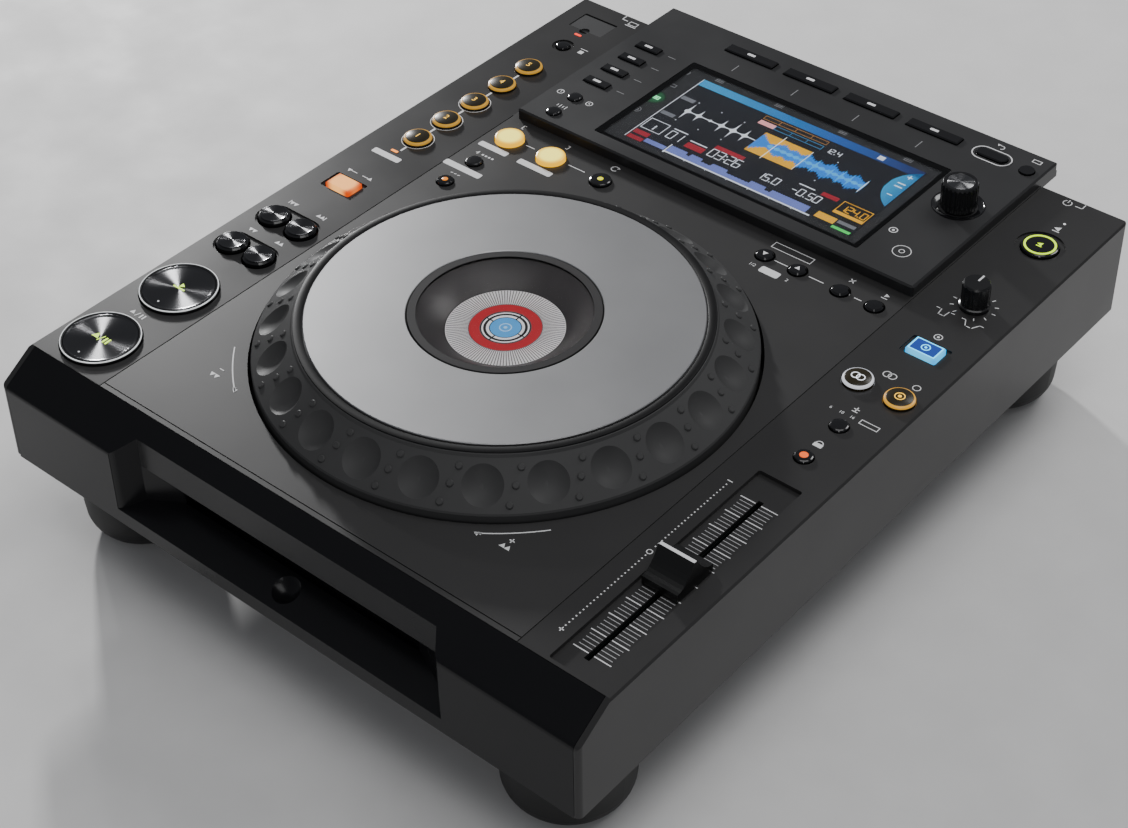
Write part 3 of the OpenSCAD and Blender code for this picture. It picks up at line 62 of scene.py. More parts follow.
LOOK = "look_"            # first part of the names of the materials made here


def on_deck(x, y):
    """Place in millimetres from the case's left side and the deck's front edge."""
    return Vector((CASE_LOW.x + x * MM, DECK_EDGE + y * MM, 0))


def middle(node):
    """Middle of a node's box, seen from above."""
    low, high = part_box(node)
    return Vector(((low.x + high.x) / 2, (low.y + high.y) / 2, 0))


def back_of(node, inset):
    """Place in the middle of a node's width, some millimetres before its back."""
    return Vector((middle(node).x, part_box(node)[1].y - inset * MM, 0))


def crown(node):
    """Height of a node's highest point."""
    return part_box(node)[1].z


JOG = middle("jog_ring")


# ---------- values a user would change ----------


def colour_prop(name, description, *value):
    return FloatVectorProperty(name=name, description=description, subtype="COLOR",
                               default=value)


def length_prop(name, description, value, **limits):
    return FloatProperty(name=name, description=description, subtype="DISTANCE",
                         default=value, **limits)


def number_prop(name, description, value, **limits):
    return FloatProperty(name=name, description=description, default=value, **limits)


class PlayerFinish(bpy.types.PropertyGroup):
    case: colour_prop("Case", "Satin plastic of the case", 0.029, 0.0284, 0.0286)
    housing: colour_prop("Display housing", "Satin plastic of the display housing",
                         0.020, 0.020, 0.021)
    gloss: colour_prop("Gloss black", "Glossy black plastic", 0.006, 0.006, 0.007)
    aluminium: colour_prop("Jog plate", "Satin aluminium of the jog plate", 0.50, 0.50, 0.505)
    ink: colour_prop("Ink", "White printing ink", 0.78, 0.78, 0.79)
    strip: length_prop("Control strip", "Width of the strip of keys at each side", 42.4 * MM)
    coarser: number_prop("Panel roughness", "How much rougher the middle panel is", 0.09)
    grain: number_prop("Grain", "Grains of the moulded surface to a metre", 2600.0,
                       min=200.0, max=8000.0)
    print_rise: length_prop("Print thickness", "Thickness of the ink", 0.06 * MM,
                            min=0.01 * MM, max=0.2 * MM)


class PlayerLight(bpy.types.PropertyGroup):
    amber: colour_prop("Amber", "Light of the beat keys", 1.0, 0.58, 0.07)
    cream: colour_prop("Cream", "Light of the loop keys", 1.0, 0.90, 0.16)
    green: colour_prop("Yellow green", "Light of the eject key and the transport marks",
                       0.55, 0.84, 0.02)
    cyan: colour_prop("Cyan", "Rim of the jog mode key", 0.10, 0.62, 1.0)
    strength: number_prop("Strength", "Brightness of the lit keys", 1.6, min=0.0, max=10.0)
    screen: number_prop("Screen", "Brightness of the screen", 0.8, min=0.0, max=10.0)


class PlayerDial(bpy.types.PropertyGroup):
    band: length_prop("Band radius", "Outer radius of the white band", 24.4 * MM)
    red: length_prop("Red ring radius", "Outer radius of the red ring", 14.9 * MM)
    blue: length_prop("Blue disc radius", "Radius of the blue disc", 6.3 * MM)
    rays: IntProperty(name="Rays", description="Fine dark rays on the white band",
                      default=120, min=12, max=180)


class PlayerStage(bpy.types.PropertyGroup):
    floor: length_prop("Floor", "Side of the square floor", 7.0)
    key: number_prop("Key light", "Power of the small light low behind the left", 24.0)
    top: number_prop("Top light", "Power of the light overhead", 9.5)
    rear: number_prop("Rear light", "Power of the light behind the player", 7.0)
    side: number_prop("Edge light", "Power of the upright strip at the front", 2.5)
    glint: number_prop("Glint light", "Power of the smallest light at the left", 2.0)
    air: number_prop("Surroundings", "Brightness of the room", 0.17)
    place: FloatVectorProperty(
        name="Camera place", description="Where the camera stands", subtype="XYZ",
        default=(0.48005, -0.57862, 0.66292))
    turn: FloatVectorProperty(
        name="Camera turn", description="How the camera is turned", subtype="EULER",
        default=(math.radians(51.705), math.radians(0.793), math.radians(39.994)))
    lens: number_prop("Lens", "Focal length in millimetres", 71.93)
    shift: number_prop("Shift", "Vertical shift of the lens", -0.0851)


def finish():
    return bpy.context.scene.player_finish


def light():
    return bpy.context.scene.player_light


# ---------- shader nodes ----------

SOCKETS = {"Vector": "Vector", "Colour": "Color", "Other": "Color", "Inner": "Color",
           "Outer": "Color"}


def node_group(name, inputs, outputs):
    """An empty shader group with the named sockets, and its two ends."""
    tree = bpy.data.node_groups.new(name, "ShaderNodeTree")
    for side, labels in (("INPUT", inputs), ("OUTPUT", outputs)):
        for label in labels:
            tree.interface.new_socket(name=label, in_out=side,
                                      socket_type="NodeSocket" + SOCKETS.get(label, "Float"))
    return tree, tree.nodes.new("NodeGroupInput").outputs, tree.nodes.new("NodeGroupOutput").inputs


def node(tree, kind, links=(), **values):
    """A node with its values set; links pair its inputs with outputs or with values."""
    made = tree.nodes.new(kind)
    for key, value in values.items():
        label = key.replace("_", " ")
        if label in made.inputs:
            made.inputs[label].default_value = value
        else:
            setattr(made, key, value)
    for socket, source in links:
        if isinstance(source, bpy.types.NodeSocket):
            tree.links.new(source, made.inputs[socket])
        else:
            made.inputs[socket].default_value = source
    return made


def calc(tree, operation, *terms):
    """Result of a sum; its terms are outputs or numbers."""
    return node(tree, "ShaderNodeMath", enumerate(terms), operation=operation).outputs["Value"]


def off_axis(tree, vector):
    """Distance of a place from its own Z axis."""
    flat = node(tree, "ShaderNodeVectorMath", [(0, vector), (1, (1, 1, 0))],
                operation="MULTIPLY").outputs["Vector"]
    return node(tree, "ShaderNodeVectorMath", [(0, flat)], operation="LENGTH").outputs["Value"]


def mapped(tree, value, low, high, ends=(0.0, 1.0), **values):
    """A value that runs between low and high, brought between two ends."""
    return node(tree, "ShaderNodeMapRange", [
        ("Value", value), ("To Min", ends[0]), ("To Max", ends[1])],
        From_Min=low, From_Max=high, **values).outputs["Result"]


def blend(tree, share, first, second):
    """Mix of two colours."""
    return node(tree, "ShaderNodeMix", [(0, share), (6, first), (7, second)],
                data_type="RGBA").outputs[2]


def noise(tree, start, detail):
    """Noise whose place and scale come from the group's inputs."""
    return node(tree, "ShaderNodeTexNoise", [
        ("Vector", start["Vector"]), ("Scale", start["Scale"])], Detail=detail).outputs["Fac"]


def build_grain(name):
    """Moulded grain: a fine height and a roughness that wanders from low to high."""
    tree, start, end = node_group(name, ("Vector", "Scale", "Low", "High"),
                                  ("Height", "Roughness"))
    broad = node(tree, "ShaderNodeTexNoise", [("Vector", start["Vector"])],
                 Scale=22.0, Detail=4.0).outputs["Fac"]
    rough = mapped(tree, broad, 0.35, 0.65, (start["Low"], start["High"]))
    tree.links.new(noise(tree, start, 3.0), end["Height"])
    tree.links.new(rough, end["Roughness"])


def build_drift(name):
    """Faint drift between two close colours."""
    tree, start, end = node_group(name, ("Vector", "Scale", "Colour", "Other"), ("Colour",))
    tree.links.new(blend(tree, noise(tree, start, 5.0), start["Colour"], start["Other"]),
                   end["Colour"])


def build_turned(name):
    """Grooves left by a lathe, round the vector's own Z."""
    tree, start, end = node_group(name, ("Vector", "Pitch"), ("Height",))
    turns = calc(tree, "DIVIDE", off_axis(tree, start["Vector"]), start["Pitch"])
    tree.links.new(calc(tree, "SINE", calc(tree, "MULTIPLY", turns, math.tau)), end["Height"])


def build_halo(name):
    """Colour that runs from a lamp's middle to its edge."""
    tree, start, end = node_group(name, ("Vector", "Radius", "Inner", "Outer"), ("Colour",))
    share = calc(tree, "DIVIDE", off_axis(tree, start["Vector"]), start["Radius"])
    step = mapped(tree, share, 0.62, 1.05, interpolation_type="SMOOTHSTEP")
    tree.links.new(blend(tree, step, start["Inner"], start["Outer"]), end["Colour"])


GROUP_BUILDERS = {"moulded_grain": build_grain, "colour_drift": build_drift,
                  "turned_grooves": build_turned, "lamp_halo": build_halo}


def grouped(tree, name, vector, **values):
    """Outputs of one of the groups above, which is made at its first use."""
    if name not in bpy.data.node_groups:
        GROUP_BUILDERS[name](name)
    made = tree.nodes.new("ShaderNodeGroup")
    made.node_tree = bpy.data.node_groups[name]
    tree.links.new(vector, made.inputs["Vector"])
    for key, value in values.items():
        made.inputs[key].default_value = value
    return made.outputs


def rgba(colour, factor=1.0):
    return tuple(min(c * factor, 1.0) for c in colour[:3]) + (1.0,)


def drift(tree, place, scale, colour, low, high=1.0):
    """A colour that wanders between two shares of itself."""
    return grouped(tree, "colour_drift", place, Scale=scale, Colour=rgba(colour, low),
                   Other=rgba(colour, high))["Colour"]


def bump(tree, height, strength, distance):
    return node(tree, "ShaderNodeBump", [("Height", height)], Strength=strength,
                Distance=distance * MM).outputs["Normal"]


def centred(tree, place, centre):
    """A place measured from a piece's own axis."""
    return node(tree, "ShaderNodeMapping", [("Vector", place)],
                Location=(-centre.x, -centre.y, 0)).outputs["Vector"]


# ---------- materials ----------


def made_once(build):
    """Let a material be made only when there is none of its name."""
    def look(name, *rest, **values):
        return bpy.data.materials.get(LOOK + name) or build(name, *rest, **values)
    return look


def shader(name, **values):
    """A new material, its nodes and the object's own coordinates."""
    made = bpy.data.materials.new(LOOK + name)
    made.use_nodes = True
    tree = made.node_tree
    for key, value in values.items():
        tree.nodes["Principled BSDF"].inputs[key.replace("_", " ")].default_value = value
    return made, tree, tree.nodes.new("ShaderNodeTexCoord").outputs["Object"]


def wire(made, **sources):
    """Link outputs to the inputs of a material's surface."""
    surface = made.node_tree.nodes["Principled BSDF"]
    for key, source in sources.items():
        made.node_tree.links.new(source, surface.inputs[key.replace("_", " ")])
    return made


@made_once
def moulded(name, colour, low, high, grain=None, relief=0.03, **values):
    """Moulded plastic, rubber or paint: drifting colour, grain and roughness."""
    made, tree, place = shader(name, **values)
    texture = grouped(tree, "moulded_grain", place, Scale=grain or finish().grain, Low=low,
                      High=high)
    return wire(made, Base_Color=drift(tree, place, 35.0, colour, 0.93, 1.08),
                Roughness=texture["Roughness"],
                Normal=bump(tree, texture["Height"], relief, 0.1))


@made_once
def turned_metal(name, colour, centre, low, high):
    """Turned metal: fine grooves round the piece's own axis and a round sheen."""
    made, tree, place = shader(name, Metallic=1.0, Anisotropic=1.0, Anisotropic_Rotation=0.25)
    grooves = grouped(tree, "turned_grooves", centred(tree, place, centre), Pitch=0.9 * MM)
    texture = grouped(tree, "moulded_grain", place, Scale=1500.0, Low=low, High=high)
    around = node(tree, "ShaderNodeTangent", direction_type="RADIAL", axis="Z")
    return wire(made, Base_Color=drift(tree, place, 60.0, colour, 0.92, 1.1),
                Roughness=texture["Roughness"],
                Normal=bump(tree, grooves["Height"], 0.012, 0.02),
                Tangent=around.outputs["Tangent"])


def panelled_case():
    """Case plastic, a little rougher on the panel between the two control strips."""
    made = moulded("case_satin", finish().case, 0.30, 0.34, Specular_IOR_Level=0.38)
    tree = made.node_tree
    rough = tree.nodes["Principled BSDF"].inputs["Roughness"].links[0].from_socket
    place = node(tree, "ShaderNodeTexCoord").outputs["Object"]
    axes = node(tree, "ShaderNodeSeparateXYZ", [("Vector", place)]).outputs
    inside = calc(tree, "LESS_THAN", calc(tree, "ABSOLUTE", axes["X"]),
                  CASE_HIGH.x - finish().strip)
    return wire(made, Roughness=calc(tree, "MULTIPLY_ADD", inside, finish().coarser, rough))


def satin_metal(name, colour, low, high, grain=1400.0, relief=0.04):
    """Satin metal without a direction."""
    return moulded(name, colour, low, high, grain, relief, Metallic=1.0)


@made_once
def glass(name, tint, roughness=0.03, index=1.14):
    """Clear or smoked glass; a low index keeps its reflections faint."""
    made, tree, place = shader(name, Transmission_Weight=1.0, IOR=index, Roughness=roughness)
    return wire(made, Base_Color=drift(tree, place, 20.0, tint, 0.97, 1.02))


@made_once
def lamp(name, centre, radius, inner, outer, strength):
    """Lit translucent plastic, brighter in its middle; the radius is in millimetres."""
    made, tree, place = shader(name, Emission_Strength=strength, Roughness=0.28)
    halo = grouped(tree, "lamp_halo", centred(tree, place, centre), Radius=radius * MM,
                   Inner=rgba(inner), Outer=rgba(outer))
    return wire(made, Emission_Color=halo["Colour"],
                Base_Color=drift(tree, place, 200.0, outer, 0.25, 0.3))


@made_once
def lit(name, colour, strength):
    """Glowing mark of one colour, faintly uneven: a lamp, or painted light on a mark that holds no
    lamp.
    """
    made, tree, place = shader(name, Emission_Strength=strength, Roughness=0.35)
    glow = drift(tree, place, 300.0, colour, 0.94)
    return wire(made, Emission_Color=glow, Base_Color=glow)


@made_once
def lit_run(name, low_x, high_x, colours, strength):
    """Lit field whose colour runs from left to right."""
    made, tree, place = shader(name, Emission_Strength=strength, Roughness=0.4)
    axes = node(tree, "ShaderNodeSeparateXYZ", [("Vector", place)]).outputs
    ramp = node(tree, "ShaderNodeValToRGB", [("Fac", mapped(tree, axes["X"], low_x, high_x))])
    ends = ramp.color_ramp.elements
    ends[0].color, ends[1].color = rgba(colours[0]), rgba(colours[-1])
    if len(colours) > 2:
        ends.new(0.6).color = rgba(colours[1])
    return wire(made, Emission_Color=ramp.outputs["Color"], Base_Color=ramp.outputs["Color"])


def ink_white():
    return moulded("ink_white", finish().ink, 0.45, 0.6, 3000.0, 0.02)


def lit_green():
    return lit("lit_green", light().green, 1.3)


def gloss_black():
    return moulded("gloss_black", finish().gloss, 0.10, 0.2, 1500.0, 0.01, Coat_Weight=0.4)


# ---------- modelling ----------


def select_none():
    bpy.ops.object.select_all(action="DESELECT")


def select_only(piece):
    select_none()
    piece.select_set(True)
    bpy.context.view_layer.objects.active = piece


def apply_place(piece):
    """Put the piece's place, turn and size into its mesh."""
    select_only(piece)
    bpy.ops.object.transform_apply(location=True, rotation=True, scale=True)


def mode(name):
    bpy.ops.object.mode_set(mode=name)


def edit_all():
    """Open the active piece in edit mode with all of it selected."""
    mode("EDIT")
    bpy.ops.mesh.select_all(action="SELECT")


def face_out():
    """Turn all faces outwards and leave edit mode."""
    bpy.ops.mesh.select_all(action="SELECT")
    bpy.ops.mesh.normals_make_consistent(inside=False)
    mode("OBJECT")


def raise_flat(piece, rise):
    """Give a flat outline its thickness."""
    edit_all()
    bpy.ops.mesh.extrude_region_move(TRANSFORM_OT_translate={"value": (0, 0, rise)})
    face_out()
    return piece


def chain(points):
    """Open line through the points: a circle opened at one edge and drawn out."""
    select_none()
    bpy.ops.mesh.primitive_circle_add(vertices=len(points), radius=1.0, fill_type="NOTHING")
    piece = bpy.context.object
    apply_place(piece)
    mode("EDIT")
    bpy.ops.mesh.select_mode(type="EDGE")
    bpy.ops.mesh.select_all(action="DESELECT")
    mode("OBJECT")
    for edge in piece.data.edges:
        edge.select = set(edge.vertices) == {0, len(points) - 1}
    mode("EDIT")
    bpy.ops.mesh.delete(type="EDGE")
    bpy.ops.mesh.select_mode(type="VERT")
    mode("OBJECT")
    for vertex, point in zip(piece.data.vertices, points):
        vertex.co = point
    return piece


def spin(at, sweep, steps):
    """Sweep the active line round an upright axis."""
    edit_all()
    bpy.ops.mesh.spin(steps=steps, angle=-sweep, center=(at.x, at.y, 0), axis=(0, 0, 1))
    bpy.ops.mesh.select_all(action="SELECT")
    bpy.ops.mesh.remove_doubles(threshold=0.002 * MM)
    face_out()


def lathe(at, base, profile, steps=48):
    """Turned solid: radii and heights above a base, in millimetres, swept round."""
    line = chain([(at.x + r * MM, at.y, base + h * MM) for r, h in profile])
    spin(at, math.tau, steps)
    select_only(line)
    bpy.ops.object.shade_smooth_by_angle(angle=math.radians(35))
    return line


def dress(pieces, name, body, material):
    """Join, name and finish pieces, and let them ride on a body."""
    select_none()
    for piece in pieces:
        piece.select_set(True)
    bpy.context.view_layer.objects.active = pieces[0]
    if len(pieces) > 1:
        bpy.ops.object.join()
    piece = bpy.context.view_layer.objects.active
    piece.name = name
    piece.data.name = name
    piece.data.materials.clear()
    piece.data.materials.append(material)
    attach(piece, body)


def turned(name, body, material, at, base, profile, steps=48):
    dress([lathe(at, base, profile, steps)], name, body, material)


def coat(names, material):
    """Give CAD nodes a finish."""
    for name in names:
        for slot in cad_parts[name].material_slots:
            slot.material = material


class Marks:
    """Flat pieces on one surface, in millimetres and degrees from an origin."""

    def __init__(self, surface, above, rise, origin=None):
        self.z, self.rise, self.pieces = surface + above * MM, rise * MM, []
        self.origin = on_deck(0, 0) if origin is None else origin

    def add(self, primitive, x, y, turn, scale=(1.0, 1.0), **values):
        """Add a flat primitive at its place, turn and scale."""
        select_none()
        primitive(location=(self.origin.x + x * MM, self.origin.y + y * MM, self.z),
                  rotation=(0, 0, math.radians(turn)), **values)
        piece = bpy.context.object
        piece.scale = (*scale, 1.0)
        apply_place(piece)
        return piece

    def keep(self, piece):
        self.pieces.append(raise_flat(piece, self.rise))

    def bar(self, x, y, length, width, turn=0.0, corner=0.0):
        """Bar; the corner is the rounded share of its lesser side."""
        piece = self.add(bpy.ops.mesh.primitive_plane_add, x, y, turn,
                         (length * MM, width * MM), size=1.0)
        if corner:
            edit_all()
            bpy.ops.mesh.bevel(offset=min(length, width) * MM * corner, segments=4,
                               affect="VERTICES")
            mode("OBJECT")
        self.keep(piece)

    def bars(self, *rows, corner=0.0):
        for row in rows:
            self.bar(*row, corner=corner)

    def disc(self, x, y, radius, sides=48, turn=0.0):
        self.keep(self.add(bpy.ops.mesh.primitive_circle_add, x, y, turn, vertices=sides,
                           radius=radius * MM, fill_type="NGON"))

    def arrow(self, x, y, radius, turn=0.0):
        self.disc(x, y, radius, 3, turn)

    def arc(self, x, y, radius, width, start=0.0, sweep=360.0, steps=0):
        """Curved bar round a centre, or a whole ring."""
        at, first = self.origin + Vector((x, y, 0)) * MM, math.radians(start)
        line = chain([(at.x + r * MM * math.cos(first), at.y + r * MM * math.sin(first), self.z)
                      for r in (radius - width / 2, radius, radius + width / 2)])
        spin(at, math.radians(sweep), steps or max(6, int(abs(sweep) / 360 * RING_STEPS)))
        self.keep(line)

    def box(self, x, y, length, width, line):
        """Outline of a box, drawn with four bars."""
        for s in (-1, 1):
            self.bar(x, y + s * (width - line) / 2, length, line)
            self.bar(x + s * (length - line) / 2, y, line, width - 2 * line)

    def figure(self, text, x, y, size):
        """Plain figures."""
        select_none()
        bpy.ops.object.text_add(
            location=(self.origin.x + x * MM, self.origin.y + y * MM, self.z))
        words = bpy.context.object.data
        words.body, words.size, words.resolution_u = text, size * MM, 3
        words.align_x = words.align_y = "CENTER"
        bpy.ops.object.convert(target="MESH")
        apply_place(bpy.context.object)
        self.keep(bpy.context.object)

    def dress(self, name, body, slot, material):
        dress(self.pieces, name, body, material)

    def ink(self, name, body="root"):
        self.dress(name, body, "dial_white", ink_white())

    def light(self, name, look, colour, strength, body="root", slot="dial_white"):
        self.dress(name, body, slot, lit(look, colour, strength))


def printed(surface, origin=None):
    """Marks of ink on a surface."""
    return Marks(surface, -SINK, SINK + finish().print_rise / MM, origin)


# ---------- operators ----------


class PLAYER_OT_finishes(bpy.types.Operator):
    """Give every CAD node its finish"""
    bl_idname = "player.finishes"
    bl_label = "Finishes"

    def execute(self, context):
        f, g = finish(), light()
        coat(["top_case"], panelled_case())
        # nodes, name of the look, colour, lowest and highest roughness, grain, relief
        for names, *look in (
                ("display_housing", "housing_satin", f.housing, 0.36, 0.42),
                ("usb_door", "door_satin", (0.03, 0.03, 0.031), 0.35, 0.42),
                ("bottom_chassis", "painted_steel", (0.016, 0.016, 0.017), 0.4, 0.5, 1800.0),
                ("feet", "foot_rubber", (0.012, 0.012, 0.012), 0.5, 0.62, 1500.0, 0.06),
                ("rear_jacks", "jack_nylon", (0.014, 0.014, 0.015), 0.38, 0.5),
                ("circuit_boards", "board_green", (0.006, 0.010, 0.009), 0.35, 0.5, 700.0),
                ("jog_display", "dial_body", (0.03, 0.03, 0.03), 0.5, 0.6),
                ("disc_turntable pickup_sled", "drive_plastic", (0.03, 0.03, 0.03), 0.35, 0.5),
                ("loading_roller", "roller_rubber", (0.02, 0.02, 0.02), 0.6, 0.7, 900.0),
                ("selector_knob vinyl_knob", "knob_black", (0.010, 0.010, 0.011), 0.2, 0.28),
                ("tempo_slider", "slider_black", (0.006, 0.006, 0.006), 0.24, 0.34),
                ("power_button", "power_black", (0.02, 0.02, 0.021), 0.3, 0.4)):
            coat(names.split(), moulded(*look))
        for names, *look in (
                ("drive_frame", "zinc_steel", (0.50, 0.51, 0.52), 0.3, 0.42),
                ("fasteners", "screw_steel", (0.42, 0.42, 0.43), 0.25, 0.35),
                ("jog_base selector_sleeve", "cast_metal", (0.30, 0.30, 0.31), 0.4, 0.5),
                ("jog_plate", "jog_aluminium", f.aluminium, 0.37, 0.385, 1600.0, 0.02)):
            coat(names.split(), satin_metal(*look))
        coat(["front_bezel"], moulded("bezel_gloss", f.gloss, 0.22, 0.28, relief=0.01,
                                      Specular_IOR_Level=0.3))
        coat(["jog_ring"], moulded("jog_satin", (0.056, 0.056, 0.0565), 0.52, 0.56, 1800.0,
                                   0.012, Specular_IOR_Level=0.16))
        coat(["jog_window"], glass("jog_glass", (0.80, 0.79, 0.79)))
        coat(["display_window"], glass("smoked_glass", (0.84, 0.85, 0.87), 0.05, 1.4))
        coat(["usb_stop_key", "reloop_key", "beat_loop_key", "slip_key", "call_rocker",
              "memory_rocker", "eject_key", "tempo_range_key", "master_tempo_key",
              "time_mode_key", "quantize_key", "back_key", "tag_key", "track_search_rocker",
              "search_rocker", "cue_button", "play_button"], gloss_black())
        coat(SOURCE_KEYS + MENU_KEYS, moulded("bar_key_black", (0.007, 0.007, 0.008), 0.2, 0.28))
        beat_radius = (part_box(BEAT_KEYS[0])[1].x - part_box(BEAT_KEYS[0])[0].x) / 2 / MM
        # node, name of the look, radius, inner and outer colour, share of the strength
        for name, look, radius, inner, outer, share in [
                *((key, key, beat_radius, g.amber, (0.95, 0.42, 0.03), 0.30)
                  for key in BEAT_KEYS),
                ("master_key", "master", 8, g.amber, (1.0, 0.38, 0.01), 0.42),
                ("sync_key", "sync", 8, (0.9, 0.92, 1.0), (0.85, 0.88, 0.95), 0.45),
                ("loop_in_key", "loop_in_key", 6.6, g.cream, (0.72, 0.36, 0.0), 1.25),
                ("loop_out_key", "loop_out_key", 6.6, g.cream, (0.72, 0.36, 0.0), 1.25),
                ("direction_key", "direction", 7.6, (1.0, 0.46, 0.12), (0.50, 0.05, 0.0), 1.1),
                ("jog_mode_key", "jog_mode", 9, g.cyan, (0.0, 0.42, 1.0), 0.8)]:
            coat([name], lamp(f"lit_{look}", middle(name), radius, inner, outer,
                              g.strength * share))
        return {"FINISHED"}


class PLAYER_OT_deck_print(bpy.types.Operator):
    """Printed pills, dashes, rings and an outlined field on the deck"""
    bl_idname = "player.deck_print"
    bl_label = "Deck print"

    def execute(self, context):
        m, thin, key_ring = printed(DECK), 0.45, 7.5
        # bare pills
        m.bars((19.0, 190.4, 16.4, 3.6), (53.4, 224.8, 16.7, 3.5), (78.0, 224.9, 19.4, 3.6),
               (53.2, 204.0, 21.6, 3.7), (205.8, 228.0, 9.7, 4.2), corner=0.24)
        # dashes that tie keys together
        for x, y, length in ((65.8, 236.2, 5.0), (93.1, 236.2, 9.6), (206.0, 236.1, 6.9),
                             (224.1, 236.0, 7.5), (245.1, 235.9, 3.6)):
            m.bar(x, y, length, thin)
        # rings of the beat keys and the dashes between them
        rows = [(middle(name) - on_deck(0, 0)) / MM for name in BEAT_KEYS]
        for low, high in zip(rows, rows[1:]):
            m.bar((low.x + high.x) / 2, (low.y + high.y) / 2, 1.0, 4.6)
        m.bar(rows[0].x, rows[0].y - 9.6, 1.0, 4.0)
        for place in rows[:3]:
            m.arc(place.x, place.y, key_ring, 0.35)
        # outlined field above the call keys
        m.box(205.6, 245.3, 20.3, 4.3, 0.35)
        m.ink("deck_marks")
        return {"FINISHED"}


class PLAYER_OT_deck_symbols(bpy.types.Operator):
    """Small plain symbols beside the keys"""
    bl_idname = "player.deck_symbols"
    bl_label = "Deck symbols"

    def execute(self, context):
        m = printed(DECK)

        def lines(*rows):
            m.bars(*rows, corner=0.15)

        # skip and search symbols above the two pairs
        for y, skip in ((137.2, True), (112.0, False)):
            for side, x in ((-1, 13.6), (1, 29.8)):
                for step in (-1.1, 1.1):
                    m.arrow(x + step, y, 1.45, 0 if side > 0 else 180)
                if skip:
                    lines((x + side * 2.6, y, 0.45, 2.5))
        # two ways of turning, above the direction key
        m.arrow(14.2, 171.6, 1.4, 180)
        lines((17.0, 171.6, 3.6, 0.45))
        m.arrow(26.6, 171.6, 1.4)
        lines((23.8, 171.6, 3.6, 0.45))
        # play and pause
        m.arrow(16.6, 40.4, 1.5)
        lines((19.4, 40.4, 0.4, 3.0, -20), (21.6, 40.4, 0.7, 2.6), (23.2, 40.4, 0.7, 2.6))
        # stop symbol with its release bar
        lines((31.4, 313.6, 2.6, 2.6), (31.4, 316.4, 4.4, 0.4))
        # loop in, loop out and loop again
        for x, side in ((53.9, -1), (78.5, 1)):
            lines((x + side * 1.4, 246.6, 0.45, 3.0), (x + side * 0.9, 245.3, 1.2, 0.45),
                  (x + side * 0.9, 247.9, 1.2, 0.45))
        m.arc(106.8, 246.8, 1.7, 0.45, 50, 280)
        m.arrow(108.2, 248.0, 0.9, 150)
        # number of beats and slip dots
        m.figure("4", 49.8, 218.0, 3.6)
        lines(*((53.0 + 1.9 * i, 218.0, 1.1, 1.1) for i in range(4)))
        lines(*((51.4 + 2.0 * i, 198.9, 1.2, 0.5, 25) for i in range(3)))
        # erase, store, half and double
        lines((236.4, 244.9, 3.2, 0.5, 45), (236.4, 244.9, 3.2, 0.5, -45))
        m.arrow(253.2, 245.4, 1.4, 270)
        lines((253.2, 243.3, 3.0, 0.45))
        m.figure("1/2", 196.8, 228.0, 2.6)
        m.figure("2", 214.6, 228.0, 2.6)
        # eject
        m.arrow(284.2, 331.2, 1.9, 90)
        lines((284.2, 329.0, 3.4, 0.55))
        # power symbol and the lead from it
        m.arc(277.6, 350.6, 1.9, 0.45, 120, 300)
        lines((277.6, 352.0, 0.45, 2.4), (283.2, 350.6, 3.6, 0.45), (284.8, 352.2, 0.45, 3.6))
        # jog mode: a wheel with its grip
        m.arc(284.6, 235.6, 1.7, 0.4)
        m.disc(284.6, 235.6, 0.6, 16)
        # two rings in step, and the ring of the master key
        m.arc(281.6, 203.0, 1.7, 0.4)
        m.arc(284.0, 203.0, 1.7, 0.4)
        m.arc(295.4, 203.0, 1.6, 0.35)
        # range of the tempo and its lock
        lines((284.4, 175.8, 2.6, 0.45), (284.4, 177.4, 2.6, 0.45), (284.4, 177.4, 0.45, 2.6))
        for i, size in enumerate((6, 10, 16)):
            m.figure(str(size), 275.6 + 5.0 * i, 172.4, 2.2)
        m.box(293.6, 172.4, 8.6, 2.8, 0.35)
        m.arc(284.6, 151.6, 1.5, 0.4, 0, 180)
        lines((284.6, 150.6, 4.0, 2.2))
        # memory stick symbol by the door
        m.box(35.0, 349.8, 5.0, 3.2, 0.4)
        lines((35.0, 347.3, 6.4, 0.5), (27.6, 352.3, 0.5, 3.6), (29.2, 350.6, 3.6, 0.5))
        m.ink("deck_symbols")
        return {"FINISHED"}


class PLAYER_OT_jog_arrows(bpy.types.Operator):
    """Curved arrows beside the jog wheel, a minus and a plus, and the search arrows"""
    bl_idname = "player.jog_arrows"
    bl_label = "Jog arrows"

    def execute(self, context):
        m = printed(DECK, JOG)
        for radius, start, sweep in ((110.4, -140.7, 14.8), (109.4, -40.2, -14.8)):
            m.arc(0, 0, radius, 0.5, start, sweep, 24)
            last = math.radians(start + sweep)
            way = last + math.copysign(math.pi / 2, sweep)
            for back, size in ((0.9, 1.3), (2.2, 0.9)):
                m.arrow(math.cos(last) * radius - math.cos(way) * back,
                        math.sin(last) * radius - math.sin(way) * back, size,
                        math.degrees(way))
        m.origin = on_deck(0, 0)
        m.bars((73.2, 37.6, 2.4, 0.45), (228.3, 36.8, 2.4, 0.45), (228.3, 36.8, 0.45, 2.4))
        for x, y, way in ((73.2, 33.6, 180), (228.3, 32.8, 0)):
            for step in (-1.2, 1.2):
                m.arrow(x + step, y, 1.5, way)
        m.ink("jog_arrows")
        return {"FINISHED"}


